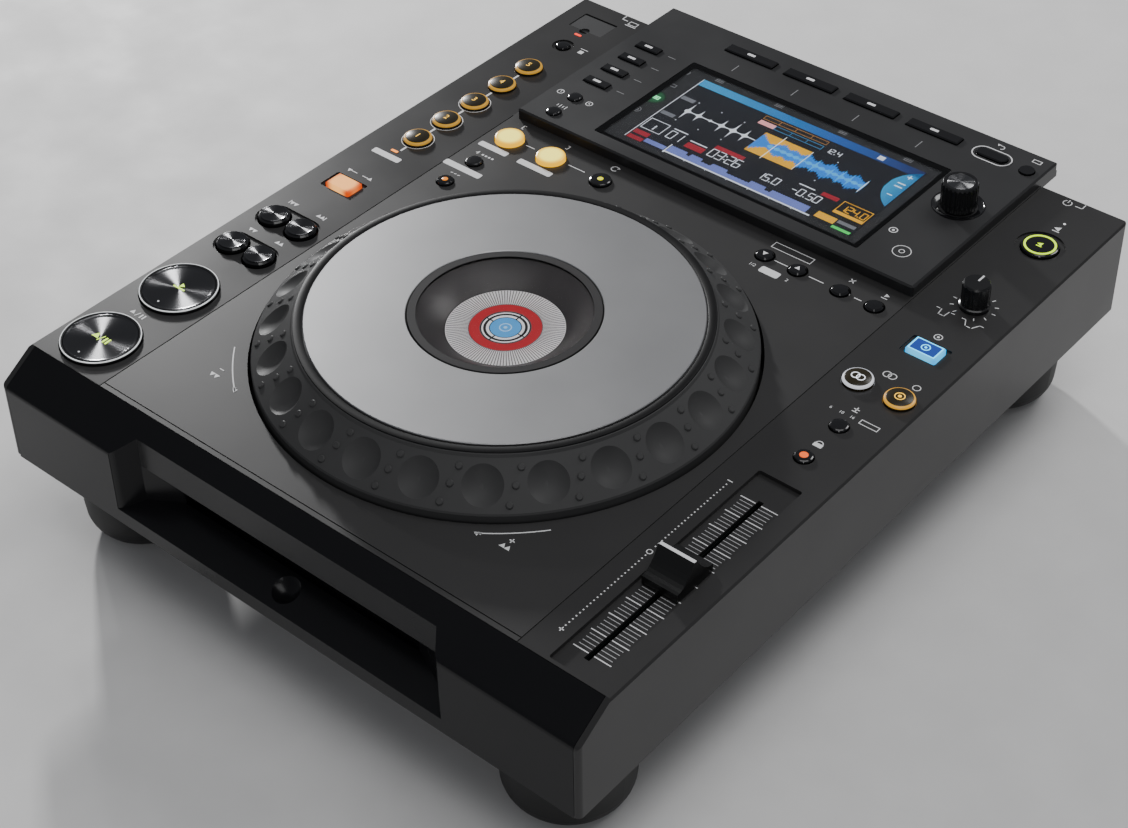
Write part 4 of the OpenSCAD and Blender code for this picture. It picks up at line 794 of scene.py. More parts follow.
class PLAYER_OT_tempo_scale(bpy.types.Operator):
    """Comb of lines beside the tempo slider and the dotted scale"""
    bl_idname = "player.tempo_scale"
    bl_label = "Tempo scale"

    def execute(self, context):
        recess, first, pitch, count = 1.8, 12.8, 1.96, 51
        comb, fine = printed(DECK - recess * MM), printed(DECK - recess * MM)
        for side, x, wide, short in ((-1, 280.85, 6.9, 5.9), (1, 290.7, 7.6, 6.6)):
            for i in range(count):
                if i % 5 == 0:
                    comb.bar(x, first + i * pitch, wide, 0.46)
                else:
                    fine.bar(x - side * 0.5, first + i * pitch, short, 0.32)
        comb.ink("tempo_comb")
        fine.dress("tempo_comb_fine", "root", "dial_white",
                   moulded("ink_pale", (0.42, 0.42, 0.43), 0.45, 0.6, 3000.0, 0.02))
        m, x, zero, clear = printed(DECK), 270.7, 64.2, 2.4
        for i in range(2, count):
            if abs(first + i * pitch - zero) > clear:
                m.bar(x, first + i * pitch, 0.6, 0.6)
        m.bars((x, 113.1, 2.4, 0.45), (x, 14.4, 2.2, 0.45), (x, 14.4, 2.2, 0.45, 90))
        m.arc(x, zero, 1.1, 0.4)
        m.ink("tempo_dots")
        return {"FINISHED"}


class PLAYER_OT_vinyl_scale(bpy.types.Operator):
    """Ticks round the vinyl speed knob and its pointer line"""
    bl_idname = "player.vinyl_scale"
    bl_label = "Vinyl scale"

    def execute(self, context):
        at, reach = middle("vinyl_knob"), 9.2
        m = printed(DECK, at)
        for angle in range(-60, 241, 30):
            way = math.radians(angle)
            m.bar(math.cos(way) * reach, math.sin(way) * reach, 1.7, 0.4, angle)
        m.origin = on_deck(0, 0)
        # two curves of a platter coming to rest: fast and slow
        for x, slope in ((277.4, 0.3), (290.4, 1.1)):
            for s in (-1, 1):
                m.bar(x + s * (1.3 + slope), 250.6, 3.8, 0.4, 90 - s * 25 * slope)
            m.bars((x, 248.8, 1.8, 0.4), (x - 3.2 - slope, 252.4, 1.8, 0.4),
                   (x + 3.2 + slope, 252.4, 1.8, 0.4))
        m.ink("vinyl_scale")
        m = Marks(crown("vinyl_knob"), -0.4, 0.46, at)
        m.bar(0, 3.2, 0.8, 4.4)
        m.ink("vinyl_pointer", "vinyl_knob")
        return {"FINISHED"}


class PLAYER_OT_slider_line(bpy.types.Operator):
    """White line along the ridge of the tempo slider"""
    bl_idname = "player.slider_line"
    bl_label = "Slider line"

    def execute(self, context):
        low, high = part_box("tempo_slider")
        m = Marks(high.z, -0.5, 0.6, middle("tempo_slider"))
        m.bar(0, 0, (high.x - low.x) / MM - 0.2, 1.5, corner=0.2)
        m.ink("slider_line", "tempo_slider")
        return {"FINISHED"}


class PLAYER_OT_transport_faces(bpy.types.Operator):
    """Turned faces, white rims that glow as painted light, and lit marks of the two large buttons
    """
    bl_idname = "player.transport_faces"
    bl_label = "Transport faces"

    def execute(self, context):
        for name in ("cue_button", "play_button"):
            at, top = middle(name), crown(name)
            metal = turned_metal(f"turned_{name}", (0.13, 0.13, 0.135), at, 0.195, 0.20)
            turned(f"{name}_face", name, metal, at, top, [
                (0, -1.3), (14.8, -0.8), (15.3, -0.2), (14.9, -0.05), (14.3, -0.34),
                (14.0, -0.38), (13.6, -0.38), (0, -0.38)], 64)
            # the thin white rim glows though it holds no lamp: painted light in place of the light
            # that falls on it
            white = lit("rim_white", (0.85, 0.87, 0.88), 0.45)
            turned(f"{name}_rim", name, white, at, top, [
                (16.3, -0.3), (16.78, -0.3), (16.72, 0.02), (16.55, 0.08), (16.35, 0.02),
                (16.3, -0.3)], 96)
            m = Marks(top, -0.9, 0.60, at)
            if name == "play_button":
                m.arrow(-2.6, 0, 2.1)
                m.bars((0.3, 0, 0.45, 4.0, math.degrees(-0.35)), (2.6, 0, 0.9, 3.4),
                       (4.3, 0, 0.9, 3.4))
            else:
                m.bar(0, 0, 6.4, 0.9)
                m.arrow(0, 2.0, 1.5, -90)
            m.dress(f"{name}_mark", name, "key_clear", lit_green())
            m = Marks(top, -0.8, 0.5, at)
            m.disc(0, -11.6, 0.45, 16)
            m.ink(f"{name}_dot", name)
        return {"FINISHED"}


class PLAYER_OT_search_faces(bpy.types.Operator):
    """Turned faces of the two search pairs"""
    bl_idname = "player.search_faces"
    bl_label = "Search faces"

    def execute(self, context):
        offset = 8.1 * MM         # from the middle of a rocker to each of its faces
        for name in ("track_search_rocker", "search_rocker"):
            for side, label in ((-1, "back"), (1, "ahead")):
                place = middle(name) + Vector((side * offset, 0, 0))
                metal = turned_metal(f"turned_{name}_{label}", (0.12, 0.12, 0.125), place,
                                     0.195, 0.20)
                turned(f"{name}_{label}_face", name, metal, place, crown(name), [
                    (0, -0.5), (6.1, -0.5), (6.1, 0.16), (5.8, 0.30), (5.5, 0.24),
                    (5.3, 0.20), (5.0, 0.20), (0, 0.20)])
        return {"FINISHED"}


class PLAYER_OT_lit_faces(bpy.types.Operator):
    """Dark faces and lit figures of the beat, sync, master, eject and mode keys"""
    bl_idname = "player.lit_faces"
    bl_label = "Lit faces"

    def execute(self, context):
        g = light()
        dark = moulded("smoked_face", (0.022, 0.017, 0.007), 0.26, 0.34, 1500.0, 0.01,
                       Specular_IOR_Level=0.35)
        amber = lit("lit_figure_amber", g.amber, 1.0)
        white = lit("lit_figure_white", (0.85, 0.88, 0.95), 1.0)
        # node, radius of the cap in its hole, look of the figure
        for name, cap, look in [*((key, 6.6, amber) for key in BEAT_KEYS),
                                ("sync_key", 6.4, white), ("master_key", 6.4, amber)]:
            at, top = middle(name), crown(name)
            turned(f"{name}_face", name, dark, at, top, [
                (0, -0.4), (5.5, -0.4), (5.5, 0.02), (5.1, 0.22), (0, 0.34)])
            turned(f"{name}_skirt", name, dark, at, DECK, [
                (cap - 0.2, -1.5), (cap + 0.08, -1.5), (cap + 0.08, 0.9), (cap - 0.2, 1.0),
                (cap - 0.2, -1.5)])
            m = Marks(top, 0.1, 0.3, at)
            if name in BEAT_KEYS:
                m.figure(name[-1], 0, 0, 4.4)
            elif name == "sync_key":
                m.arc(-1.2, 0, 1.7, 0.4)
                m.arc(1.2, 0, 1.7, 0.4)
            else:
                m.arc(0, 0, 2.0, 0.4)
                m.disc(0, 0, 0.8, 20)
            m.dress(f"{name}_figure", name, "key_clear", look)
        top = crown("eject_key")
        m = Marks(top, -0.25, 0.3, middle("eject_key"))
        m.arc(0, 0, 6.6, 0.95)
        m.z = top - 0.2 * MM
        m.arrow(0, 0.3, 1.5, 90)
        m.bar(0, -1.3, 2.6, 0.5)
        m.dress("eject_light", "eject_key", "key_clear", lit_green())
        at, top = middle("jog_mode_key"), crown("jog_mode_key")
        m = Marks(top, -0.1, 0.22, at)
        m.bar(0, 0, 11.4, 7.0, corner=0.08)
        m.light("jog_mode_face", "lit_navy", (0.01, 0.05, 0.30), 0.5, "jog_mode_key",
                "key_clear")
        m = Marks(top, -0.1, 0.2, at)
        m.box(0, 0, 12.6, 8.2, 0.5)
        m.z = top + 0.02 * MM
        m.arc(0, 0, 1.8, 0.45)
        m.disc(0, 0, 0.6, 16)
        m.light("jog_mode_line", "lit_cyan", g.cyan, 1.8, "jog_mode_key", "key_clear")
        return {"FINISHED"}


class PLAYER_OT_key_marks(bpy.types.Operator):
    """Marks and dots on the caps of the keys, and the lamps set in the deck"""
    bl_idname = "player.key_marks"
    bl_label = "Key marks"

    def execute(self, context):
        places = [(name, middle(name), 1.5) for name in SOURCE_KEYS]
        places += [(name, back_of(name, 4.5), 1.6) for name in MENU_KEYS]
        for name, place, width in places:
            m = printed(crown(name), place)
            m.bar(0, 0, 4.4, width, corner=0.3)
            m.ink(f"{name}_dash", name)
        m = Marks(crown("call_rocker"), -0.25, 0.32, middle("call_rocker"))
        m.arrow(-8.5, 0, 1.5, 180)
        m.arrow(8.5, 0, 1.5)
        m.ink("call_arrows", "call_rocker")
        for name, radius, colour, strength in (
                ("reloop_key", 1.5, (0.80, 0.72, 0.02), 1.2),
                ("slip_key", 1.5, (1.0, 0.22, 0.01), 1.3),
                ("master_tempo_key", 1.9, (1.0, 0.10, 0.01), 1.5)):
            at = middle(name)
            glow = lamp(f"lit_{name}_dot", at, radius * 1.1, rgba(colour, 1.4),
                        rgba(colour, 0.35), strength)
            turned(f"{name}_dot", name, glow, at, crown(name), [
                (0, -0.4), (radius, -0.4), (radius, -0.05), (radius * 0.7, 0.1), (0, 0.16)], 32)
        for label, x, y, colour, strength in (
                ("stick_lamp", 20.0, 325.2, (1.0, 0.06, 0.03), 1.0),
                ("slip_lamp", 19.6, 195.1, (1.0, 0.30, 0.03), 1.2)):
            m = Marks(DECK, -0.3, 0.5)
            m.bar(x, y, 4.0, 1.4, corner=0.4)
            m.light(label, f"lit_{label}", colour, strength, slot="key_clear")
        turned("standby_lamp", "root", lit("lit_standby", (0.9, 0.9, 0.9), 0.6),
               on_deck(284.6, 336.0), DECK,
               [(0, -0.4), (0.6, -0.4), (0.6, 0.1), (0.3, 0.3), (0, 0.35)], 20)
        return {"FINISHED"}


class PLAYER_OT_housing_print(bpy.types.Operator):
    """Leads, outlines and plain symbols on the display housing"""
    bl_idname = "player.housing_print"
    bl_label = "Housing print"

    def execute(self, context):
        m = printed(HOUSING)
        for name in SOURCE_KEYS:
            m.origin = middle(name)
            m.bar(14.0, 0, 4.4, 0.4)
        for name in MENU_KEYS:
            m.origin = back_of(name, 17.4)
            m.bar(0, 0, 0.45, 6.0)
        m.dress("housing_leads", "root", "dial_white",
                moulded("ink_grey", (0.22, 0.22, 0.23), 0.45, 0.6, 3000.0, 0.02))
        # oval round the back key, the return symbol above it
        m = printed(HOUSING, back_of("back_key", 4.5))
        for s in (-1, 1):
            m.bar(0, s * 5.0, 9.0, 0.55)
            m.arc(s * 4.5, 0, 5.0, 0.55, -90 * s, 180)
        m.arc(0, 8.3, 1.3, 0.4, -90, 180)
        m.bar(-0.8, 9.6, 1.8, 0.4)
        m.arrow(-2.0, 9.6, 1.0, 180)
        # mark symbol above the small key
        m.origin = Vector((middle("tag_key").x, back_of("back_key", 0).y, 0))
        m.box(0, 3.8, 4.4, 2.6, 0.4)
        # clock and grid symbols by the two round keys
        m.origin = middle("time_mode_key")
        m.arc(-8.6, 0, 1.6, 0.4)
        m.arc(8.6, 0, 1.6, 0.4)
        m.bar(-8.6, 0.5, 0.4, 1.4)
        m.arrow(8.6, 0, 0.7)
        m.origin = middle("quantize_key")
        for i in range(4):
            m.bar((i - 1.5) * 1.6, 5.8, 0.4, 2.6 if i % 2 else 1.6)
        # discs on the right of the screen
        m.origin = on_deck(0, 0)
        m.arc(233.2, 279.8, 1.8, 0.45)
        m.disc(233.2, 279.8, 0.7, 16)
        m.arc(244.4, 269.2, 4.0, 0.35)
        m.arc(244.4, 269.2, 1.2, 0.35)
        m.ink("housing_symbols")
        return {"FINISHED"}


# ---------- screen ----------

SCREEN = on_deck(96.6, 326.2)      # upper left corner of the lit screen
SCREEN_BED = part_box("display_window")[0].z - 0.48 * MM
LAYER = 0.08                       # thickness of a layer of lit fields, in mm
SEGMENTS = {"0": "abcdef", "1": "bc", "2": "abged", "3": "abgcd", "4": "fgbc", "5": "afgcd",
            "6": "afgedc", "7": "abc", "8": "abcdefg", "9": "abcdfg", "-": "g"}
ENDS = {"a": (0, 1, 1, 1), "b": (1, 0.5, 1, 1), "c": (1, 0, 1, 0.5), "d": (0, 0, 1, 0),
        "e": (0, 0, 0, 0.5), "f": (0, 0.5, 0, 1), "g": (0, 0.5, 1, 0.5)}


class Fields(Marks):
    """Lit fields, in millimetres to the right of and below the screen's corner."""

    def __init__(self):
        super().__init__(SCREEN_BED, 0, LAYER, SCREEN)

    def on(self, layer):
        self.z = SCREEN_BED + layer * LAYER * MM
        return self

    def field(self, u0, v0, u1, v1):
        self.bar((u0 + u1) / 2, -(v0 + v1) / 2, u1 - u0, v1 - v0)

    def fields(self, *rows):
        for row in rows:
            self.field(*row)

    def outline(self, u0, v0, u1, v1, line):
        self.box((u0 + u1) / 2, -(v0 + v1) / 2, u1 - u0, v1 - v0, line)

    def figures(self, text, u, v, height, line=0.45, gap=0.9):
        """Seven-segment figures whose lower left corner is at u, v."""
        width, dot, trim = height * 0.52, line * 1.4, line * 0.15
        for sign in text:
            if sign in ".:":
                for level in ((0.0,) if sign == "." else (0.25, 0.7)):
                    low = v - height * level
                    self.field(u, low - dot, u + dot, low)
                u += dot + gap
                continue
            for part in SEGMENTS[sign]:
                x0, y0, x1, y1 = ENDS[part]
                across = line / 2 if x0 == x1 else -trim
                along = line / 2 if y0 == y1 else -trim
                self.field(u + x0 * width - across, v - y1 * height - along,
                           u + x1 * width + across, v - y0 * height + along)
            u += width + gap

    def wave(self, u0, u1, v, steps, upper, lower):
        """Strip whose two edges follow a curve: a grid with its columns drawn out."""
        select_none()
        bpy.ops.mesh.primitive_grid_add(x_subdivisions=steps, y_subdivisions=1, size=1.0)
        piece = bpy.context.object
        for vertex in piece.data.vertices:
            u = u0 + (vertex.co.x + 0.5) * (u1 - u0)
            rise = upper(u) if vertex.co.y > 0 else -lower(u)
            vertex.co = (SCREEN.x + u * MM, SCREEN.y - (v - rise) * MM, self.z)
        select_only(piece)
        self.keep(piece)

    def show(self, name, look, colour, share=1.0):
        self.light(name, look, colour, light().screen * share, slot="smoked_glass")

    def show_run(self, name, look, u0, u1, colours):
        self.dress(name, "root", "smoked_glass", lit_run(
            look, SCREEN.x + u0 * MM, SCREEN.x + u1 * MM, colours, light().screen))


def swell(u, places, reach):
    """Loudness that jumps at each beat and dies away after it."""
    return max(height * max(0.0, 1.0 - abs(u - place) / reach) ** 1.2
               for place, height in places)


BEATS = [(10.5, 6.8), (17.0, 4.8), (23.5, 1.0), (30.0, 5.2), (36.5, 6.8), (43.0, 5.0)]
LOUD = [(49.4, 7.4), (62.6, 5.0), (69.0, 4.2), (76.2, 5.6), (82.4, 4.0), (88.6, 6.4),
        (95.6, 4.0), (101.8, 5.8), (107.0, 2.6)]
FLASHES = [(75.6, 5.4), (81.8, 4.6), (90.2, 3.2), (95.4, 5.0), (100.2, 4.4), (107.6, 5.4)]
PARTS = [(22.2, 31.6), (33.6, 40.0), (45.6, 53.8), (66.6, 74.8), (78.0, 98.6)]


def quiet_wave(u):
    soft = [(place, height * 0.25) for place, height in BEATS]
    return 0.28 + max(swell(u, BEATS, 0.75), swell(u, soft, 2.2))


def loud_wave(u):
    ragged = 0.74 + 0.26 * math.sin(u * 9.7) * math.sin(u * 5.3 + 1.0)
    return 0.9 + (0.9 + swell(u, LOUD, 7.0)) * ragged


def bright_wave(u):
    return 0.2 + 1.5 * abs(math.sin(u * 6.7) * math.sin(u * 0.9)) + swell(u, FLASHES, 0.5)


def overview_wave(u):
    """Higher in the loud parts of the track."""
    if any(start < u < end for start, end in PARTS):
        return 5.1 + 0.15 * math.sin(u * 5)
    return 2.6 + 0.5 * abs(math.sin(u * 1.7))


def zoom_edge(u):
    """Half height of the disc whose part fills the zoom field."""
    return math.sqrt(max(0.0, 19.0 ** 2 - (133.2 - u) ** 2)) * 0.97


class PLAYER_OT_screen(bpy.types.Operator):
    """Lit fields, waveforms and figures of the screen, and the source marks beside it"""
    bl_idname = "player.screen"
    bl_label = "Screen"

    def execute(self, context):
        # the grey mask round the screen glows faintly, painted light standing in for the light
        # that the smoked glass holds back; the dark bed is the screen's own glow
        for name, look, colour, strength, sunk, x, length, width, corner in (
                ("screen_mask", "mask_grey", (0.030, 0.030, 0.031), 0.25, 0.16, 59.8, 141, 72,
                 0.02),
                ("screen_bed", "lcd_dark", (0.008, 0.009, 0.014), 0.4, 0.06, 62, 124, 60, 0)):
            m = Marks(SCREEN_BED, -sunk, 0.06, SCREEN)
            m.bar(x, -30, length, width, corner=corner)
            m.light(name, look, colour, strength, slot="smoked_glass")

        s = Fields()
        s.field(0.3, 0.0, 123.4, 5.4)
        s.show_run("screen_title", "lcd_title", 0, 124, [
            (0.015, 0.32, 0.62), (0.01, 0.10, 0.40), (0.01, 0.015, 0.09)])

        s = Fields()
        s.field(0.0, 0.0, 0.35, 60.0)
        s.on(1).field(99.9, 1.2, 103.2, 4.2)
        s.on(0).wave(9.0, 49.0, 26.4, 240, quiet_wave, quiet_wave)
        s.on(1)
        for u in (10.3, 23.3, 36.3, 88.0):
            s.fields((u, 17.4, u + 0.6, 18.0), (u, 35.4, u + 0.6, 36.0))
        s.figures("01", 15.2, 49.6, 6.0)
        s.figures("03:26", 38.8, 49.6, 6.0)
        s.figures("15.0", 65.8, 49.6, 5.0)
        s.figures("-0.50", 84.2, 49.6, 5.0)
        s.figures("12.4", 78.4, 14.0, 3.4, 0.4, 0.6)
        s.outline(1.2, 41.0, 12.2, 50.2, 0.35)
        s.figures("1", 5.2, 48.8, 3.8, 0.7)
        for u0, u1, v in ((14.8, 22.6, 41.8), (26.4, 35.8, 45.0), (84.4, 92.8, 41.8)):
            s.field(u0, v - 0.35, u1, v + 0.35)
        # base line of the overview and its ticks
        s.fields((21.6, 58.5, 101.6, 59.4), (21.6, 52.6, 22.1, 60.0))
        s.fields(*((22.0 + 11.7 * i, 59.4, 22.4 + 11.7 * i, 60.0) for i in range(7)))
        s.show("screen_white", "lcd_white", (0.80, 0.84, 0.88))

        s = Fields()
        s.fields((1.0, 17.0, 8.4, 19.8), (1.0, 32.6, 8.4, 35.2), (113.6, 53.4, 122.6, 55.6))
        s.show("screen_grey", "lcd_grey", (0.22, 0.23, 0.25), 0.6)

        # loop in orange with the louder waveform in blue
        s = Fields()
        s.fields((49.2, 18.0, 75.3, 35.2), (103.0, 53.3, 112.9, 57.7),
                 (107.6, 48.1, 123.0, 50.2))
        s.on(1).outline(107.6, 40.4, 123.0, 50.2, 0.35)
        s.figures("124.0", 109.0, 47.2, 4.4, 0.45, 0.75)
        s.show("screen_orange", "lcd_orange", (0.86, 0.44, 0.01))
        s = Fields()
        s.on(1).wave(49.3, 108.0, 26.4, 360, loud_wave, loud_wave)
        s.show("screen_blue", "lcd_blue", (0.01, 0.22, 0.75))
        s = Fields()
        s.on(2).wave(56.0, 108.0, 26.4, 420, bright_wave, bright_wave)
        s.show("screen_spikes", "lcd_pale", (0.08, 0.48, 0.90))
        s = Fields()
        s.on(3).fields((58.9, 15.8, 59.3, 37.0), (75.2, 18.0, 75.5, 35.2),
                       (107.4, 21.6, 107.8, 31.4))
        s.show("screen_needle", "lcd_needle", (0.9, 0.9, 0.85))

        # bars of the two phases: edges of the bar, first tick, number of ticks
        for name, look, colour, u0, v0, v1, tick, count in (
                ("upper", "lcd_brown", (0.55, 0.26, 0.05), 41.2, 6.7, 9.7, 49.9, 3),
                ("lower", "lcd_steel", (0.05, 0.30, 0.60), 50.0, 11.0, 14.1, 58.7, 2)):
            s = Fields()
            s.on(1).outline(u0, v0, 76.3, v1, 0.3)
            s.fields(*((tick + 8.8 * i, v0, tick + 0.3 + 8.8 * i, v1) for i in range(count)))
            s.show(f"screen_phase_{name}", look, colour, 0.7)
        s = Fields()
        s.on(1).field(41.3, 11.0, 49.9, 14.1)
        s.show("screen_phase_mark", "lcd_pink", (1.0, 0.42, 0.42))

        s = Fields()
        s.fields((38.2, 40.2, 54.0, 43.0), (26.4, 46.4, 36.2, 50.4), (96.4, 40.2, 105.0, 43.0),
                 (1.0, 52.2, 9.2, 55.4), (1.0, 57.2, 9.2, 60.0))
        s.show("screen_red", "lcd_red", (0.40, 0.01, 0.025), 0.8)
        s = Fields()
        s.wave(22.2, 98.6, 58.4, 300, overview_wave, lambda u: 0.0)
        s.field(9.8, 55.6, 21.0, 58.6)
        s.show("screen_overview", "lcd_lavender", (0.17, 0.22, 0.60), 0.85)
        s = Fields()
        s.field(113.4, 58.2, 122.9, 60.0)
        s.show("screen_green", "lcd_green", (0.05, 0.75, 0.12))

        # zoom field: a part of a disc at the right edge, with a plus and a minus
        s = Fields()
        s.wave(114.4, 123.2, 17.0, 40, zoom_edge, zoom_edge)
        s.show_run("screen_zoom", "lcd_zoom", 114, 124, [(0.01, 0.32, 0.60), (0.01, 0.18, 0.42)])
        s = Fields()
        s.on(2).fields((118.6, 7.6, 121.4, 8.1), (119.75, 6.4, 120.25, 9.3),
                       (117.6, 13.6, 121.6, 14.4), (117.6, 16.4, 121.6, 17.2),
                       (118.6, 23.8, 121.2, 24.4))
        s.show("screen_zoom_signs", "lcd_signs", (0.75, 0.88, 0.92))

        # source marks behind the glass: one is lit green; the grey ones glow faintly as painted
        # light
        m = Marks(SCREEN_BED, 0, 0.1)
        m.arc(86.2, 326.0, 1.8, 0.4)
        m.disc(86.2, 326.0, 0.7, 16)
        m.box(87.6, 312.9, 5.0, 2.4, 0.35)
        m.arc(87.6, 286.7, 1.9, 0.35)
        m.arc(87.6, 286.7, 0.7, 0.35)
        m.origin = SCREEN
        for i, u in enumerate((6.6, 39.6, 76.4, 110.4)):
            for row in range(3):
                m.bar(u + 1.2 * (i % 2), 4.9 - 1.1 * row, 4.4, 0.4)
        m.light("source_marks", "mark_grey", (0.30, 0.30, 0.31), 0.5)
        at = on_deck(87.6, 299.9)
        m = Marks(SCREEN_BED, 0, 0.1, at)
        m.box(0, 0, 5.6, 2.6, 0.5)
        m.bar(0, 0, 3.4, 1.0)
        m.light("source_lit", "lit_source", (0.25, 1.0, 0.45), 1.6, slot="key_clear")
        m = Marks(SCREEN_BED, -0.04, 0.03, at)
        m.disc(0, 0, 5.4, 40)
        m.dress("source_halo", "root", "key_clear", lamp(
            "halo_green", at, 5.6, (0.02, 0.14, 0.05), (0.0, 0.004, 0.002), 1.0))
        return {"FINISHED"}


class PLAYER_OT_jog_dial(bpy.types.Operator):
    """Rings, rays and disc of the round display inside the jog wheel"""
    bl_idname = "player.jog_dial"
    bl_label = "Jog dial"

    def execute(self, context):
        d = context.scene.player_dial
        band, red, blue = d.band / MM, d.red / MM, d.blue / MM
        hub = 10.4                # inner radius of the red ring
        bed, step = crown("jog_display") - 0.3 * MM, 0.06
        lip = (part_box("jog_window")[0].z - bed) / MM - 0.08

        # the grey surround of the dial glows faintly: painted light standing in for the light that
        # the glass above holds back
        turned("dial_surround", "root",
               lit("surround_grey", (0.036, 0.034, 0.035), 0.55), JOG, bed,
               [(24.8, -0.3), (36.0, lip - 0.7), (36.1, lip), (35.6, lip), (24.8, 0.3),
                (24.8, -0.3)], 96)
        m = Marks(crown("jog_window"), -0.04, 0.05, JOG)
        m.arc(0, 0, 37.6, 3.4, steps=96)
        m.dress("window_border", "jog", "jog_glass", moulded(
            "border_grey", (0.030, 0.029, 0.030), 0.6, 0.66, Specular_IOR_Level=0.15))
        m = Marks(bed, -0.03, 0.04, JOG)
        m.disc(0, 0, 10.5, 64)
        m.dress("dial_well", "root", "jog_black",
                moulded("dial_black", (0.006, 0.006, 0.007), 0.5, 0.6))
        m = Marks(bed, 0, step, JOG)
        m.arc(0, 0, (band + red) / 2, band - red, steps=96)
        m.light("dial_band", "dial_white", (0.62, 0.61, 0.62), 0.8)
        # one ray, copied round the dial
        m = Marks(bed, step, 0.04, JOG)
        m.bar((band + red) / 2, 0, band - red - 0.5, 0.36)
        first = m.pieces.pop()
        for i in range(d.rays):
            ray = first.copy()
            ray.data = first.data.copy()
            context.collection.objects.link(ray)
            cos, sin = math.cos(math.tau * i / d.rays), math.sin(math.tau * i / d.rays)
            for vertex in ray.data.vertices:
                x, y = vertex.co.x - JOG.x, vertex.co.y - JOG.y
                vertex.co.x, vertex.co.y = JOG.x + x * cos - y * sin, JOG.y + x * sin + y * cos
            m.pieces.append(ray)
        bpy.data.objects.remove(first)
        m.rise = 0.05 * MM
        m.arc(0, 0, red + 0.1, 0.3)
        m.arc(0, 0, hub, 0.3)
        m.light("dial_rays", "dial_grey", (0.10, 0.10, 0.104), 0.5)
        m = Marks(bed, 0, step, JOG)
        m.arc(0, 0, (red + hub) / 2, red - hub)
        m.light("dial_red", "dial_red", (0.40, 0.018, 0.026), 0.8)
        m = Marks(bed, 0, step, JOG)
        for radius, width in ((9.4, 0.7), (7.3, 1.2)):
            gap = math.degrees(0.7 / radius)
            for start in range(0, 360, 90):
                m.arc(0, 0, radius, width, start + gap / 2, 90 - gap, 16)
        m.light("dial_rings", "dial_rings", (0.75, 0.76, 0.78), 0.8)
        m = Marks(bed, 0, step, JOG)
        m.disc(0, 0, blue, 64)
        m.light("dial_blue", "dial_blue", (0.06, 0.30, 0.66), 0.9)
        plate = (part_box("jog_plate")[1].x - JOG.x) / MM
        black = moulded("trim_black", (0.004, 0.004, 0.0045), 0.4, 0.5, Specular_IOR_Level=0.15)
        turned("jog_trim", "jog", black, JOG, crown("jog_plate"), [
            (plate + 0.5, -0.9), (plate + 4.2, -0.9), (plate + 4.0, -0.5), (plate + 3.4, -0.35),
            (plate + 1.0, -0.35), (plate + 0.5, -0.6), (plate + 0.5, -0.9)], 160)
        m = Marks(bed, step, 0.05, JOG)
        m.arc(0, 0, 2.4, 0.5)
        m.disc(0, 0, 0.8, 20)
        m.light("dial_sign", "dial_sign", (0.40, 0.62, 0.85), 0.8)
        return {"FINISHED"}


class PLAYER_OT_knob_faces(bpy.types.Operator):
    """Turned face of the selector and the gloss black ring of its dish"""
    bl_idname = "player.knob_faces"
    bl_label = "Knob faces"

    def execute(self, context):
        at = middle("selector_knob")
        turned("selector_face", "selector_knob",
               turned_metal("turned_selector", (0.22, 0.22, 0.225), at, 0.25, 0.26),
               at, crown("selector_knob"),
               [(0, -0.9), (5.9, -0.9), (5.9, -0.2), (5.5, 0.02), (0, -0.08)])
        turned("selector_dish", "root", gloss_black(), at, HOUSING, [
            (8.6, -0.78), (11.6, -0.3), (11.7, 0.25), (11.3, 0.3), (10.9, -0.1), (8.7, -0.55),
            (8.6, -0.78)], 72)
        return {"FINISHED"}


class PLAYER_OT_rear_details(bpy.types.Operator):
    """Coloured rings and plated sleeves of the phono sockets"""
    bl_idname = "player.rear_details"
    bl_label = "Rear details"

    def execute(self, context):
        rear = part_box("bottom_chassis")[1].y
        height = 62 * MM          # of the sockets' axes
        plated = satin_metal("plated_sleeve", (0.62, 0.60, 0.56), 0.2, 0.3)
        for label, x, colour in (("right", -46, (0.5, 0.02, 0.02)), ("left", -74, (0.7, 0.7, 0.7)),
                                 ("digital", -96, (0.75, 0.26, 0.02))):
            at = Vector((x * MM, 0, 0))
            ring = lathe(at, 0, [(4.3, 0), (6.0, 0), (6.0, 1.1), (5.6, 1.4), (4.3, 1.4),
                                 (4.3, 0)], 40)
            sleeve = lathe(at, 0, [(4.2, 1.0), (4.26, 8.4), (4.1, 8.8), (3.4, 8.8), (3.4, 8.5),
                                   (4.16, 8.4), (4.16, 1.0), (4.2, 1.0)], 40)
            for piece in (ring, sleeve):
                # laid over, so that its axis points out of the rear panel
                for vertex in piece.data.vertices:
                    x0, y0, z0 = vertex.co
                    vertex.co = (2 * at.x - x0, rear + z0, height + y0)
                select_only(piece)
                mode("EDIT")
                face_out()
            dress([ring], f"phono_ring_{label}", "root",
                  moulded(f"phono_{label}", colour, 0.3, 0.4))
            dress([sleeve], f"phono_sleeve_{label}", "root", plated)
        return {"FINISHED"}


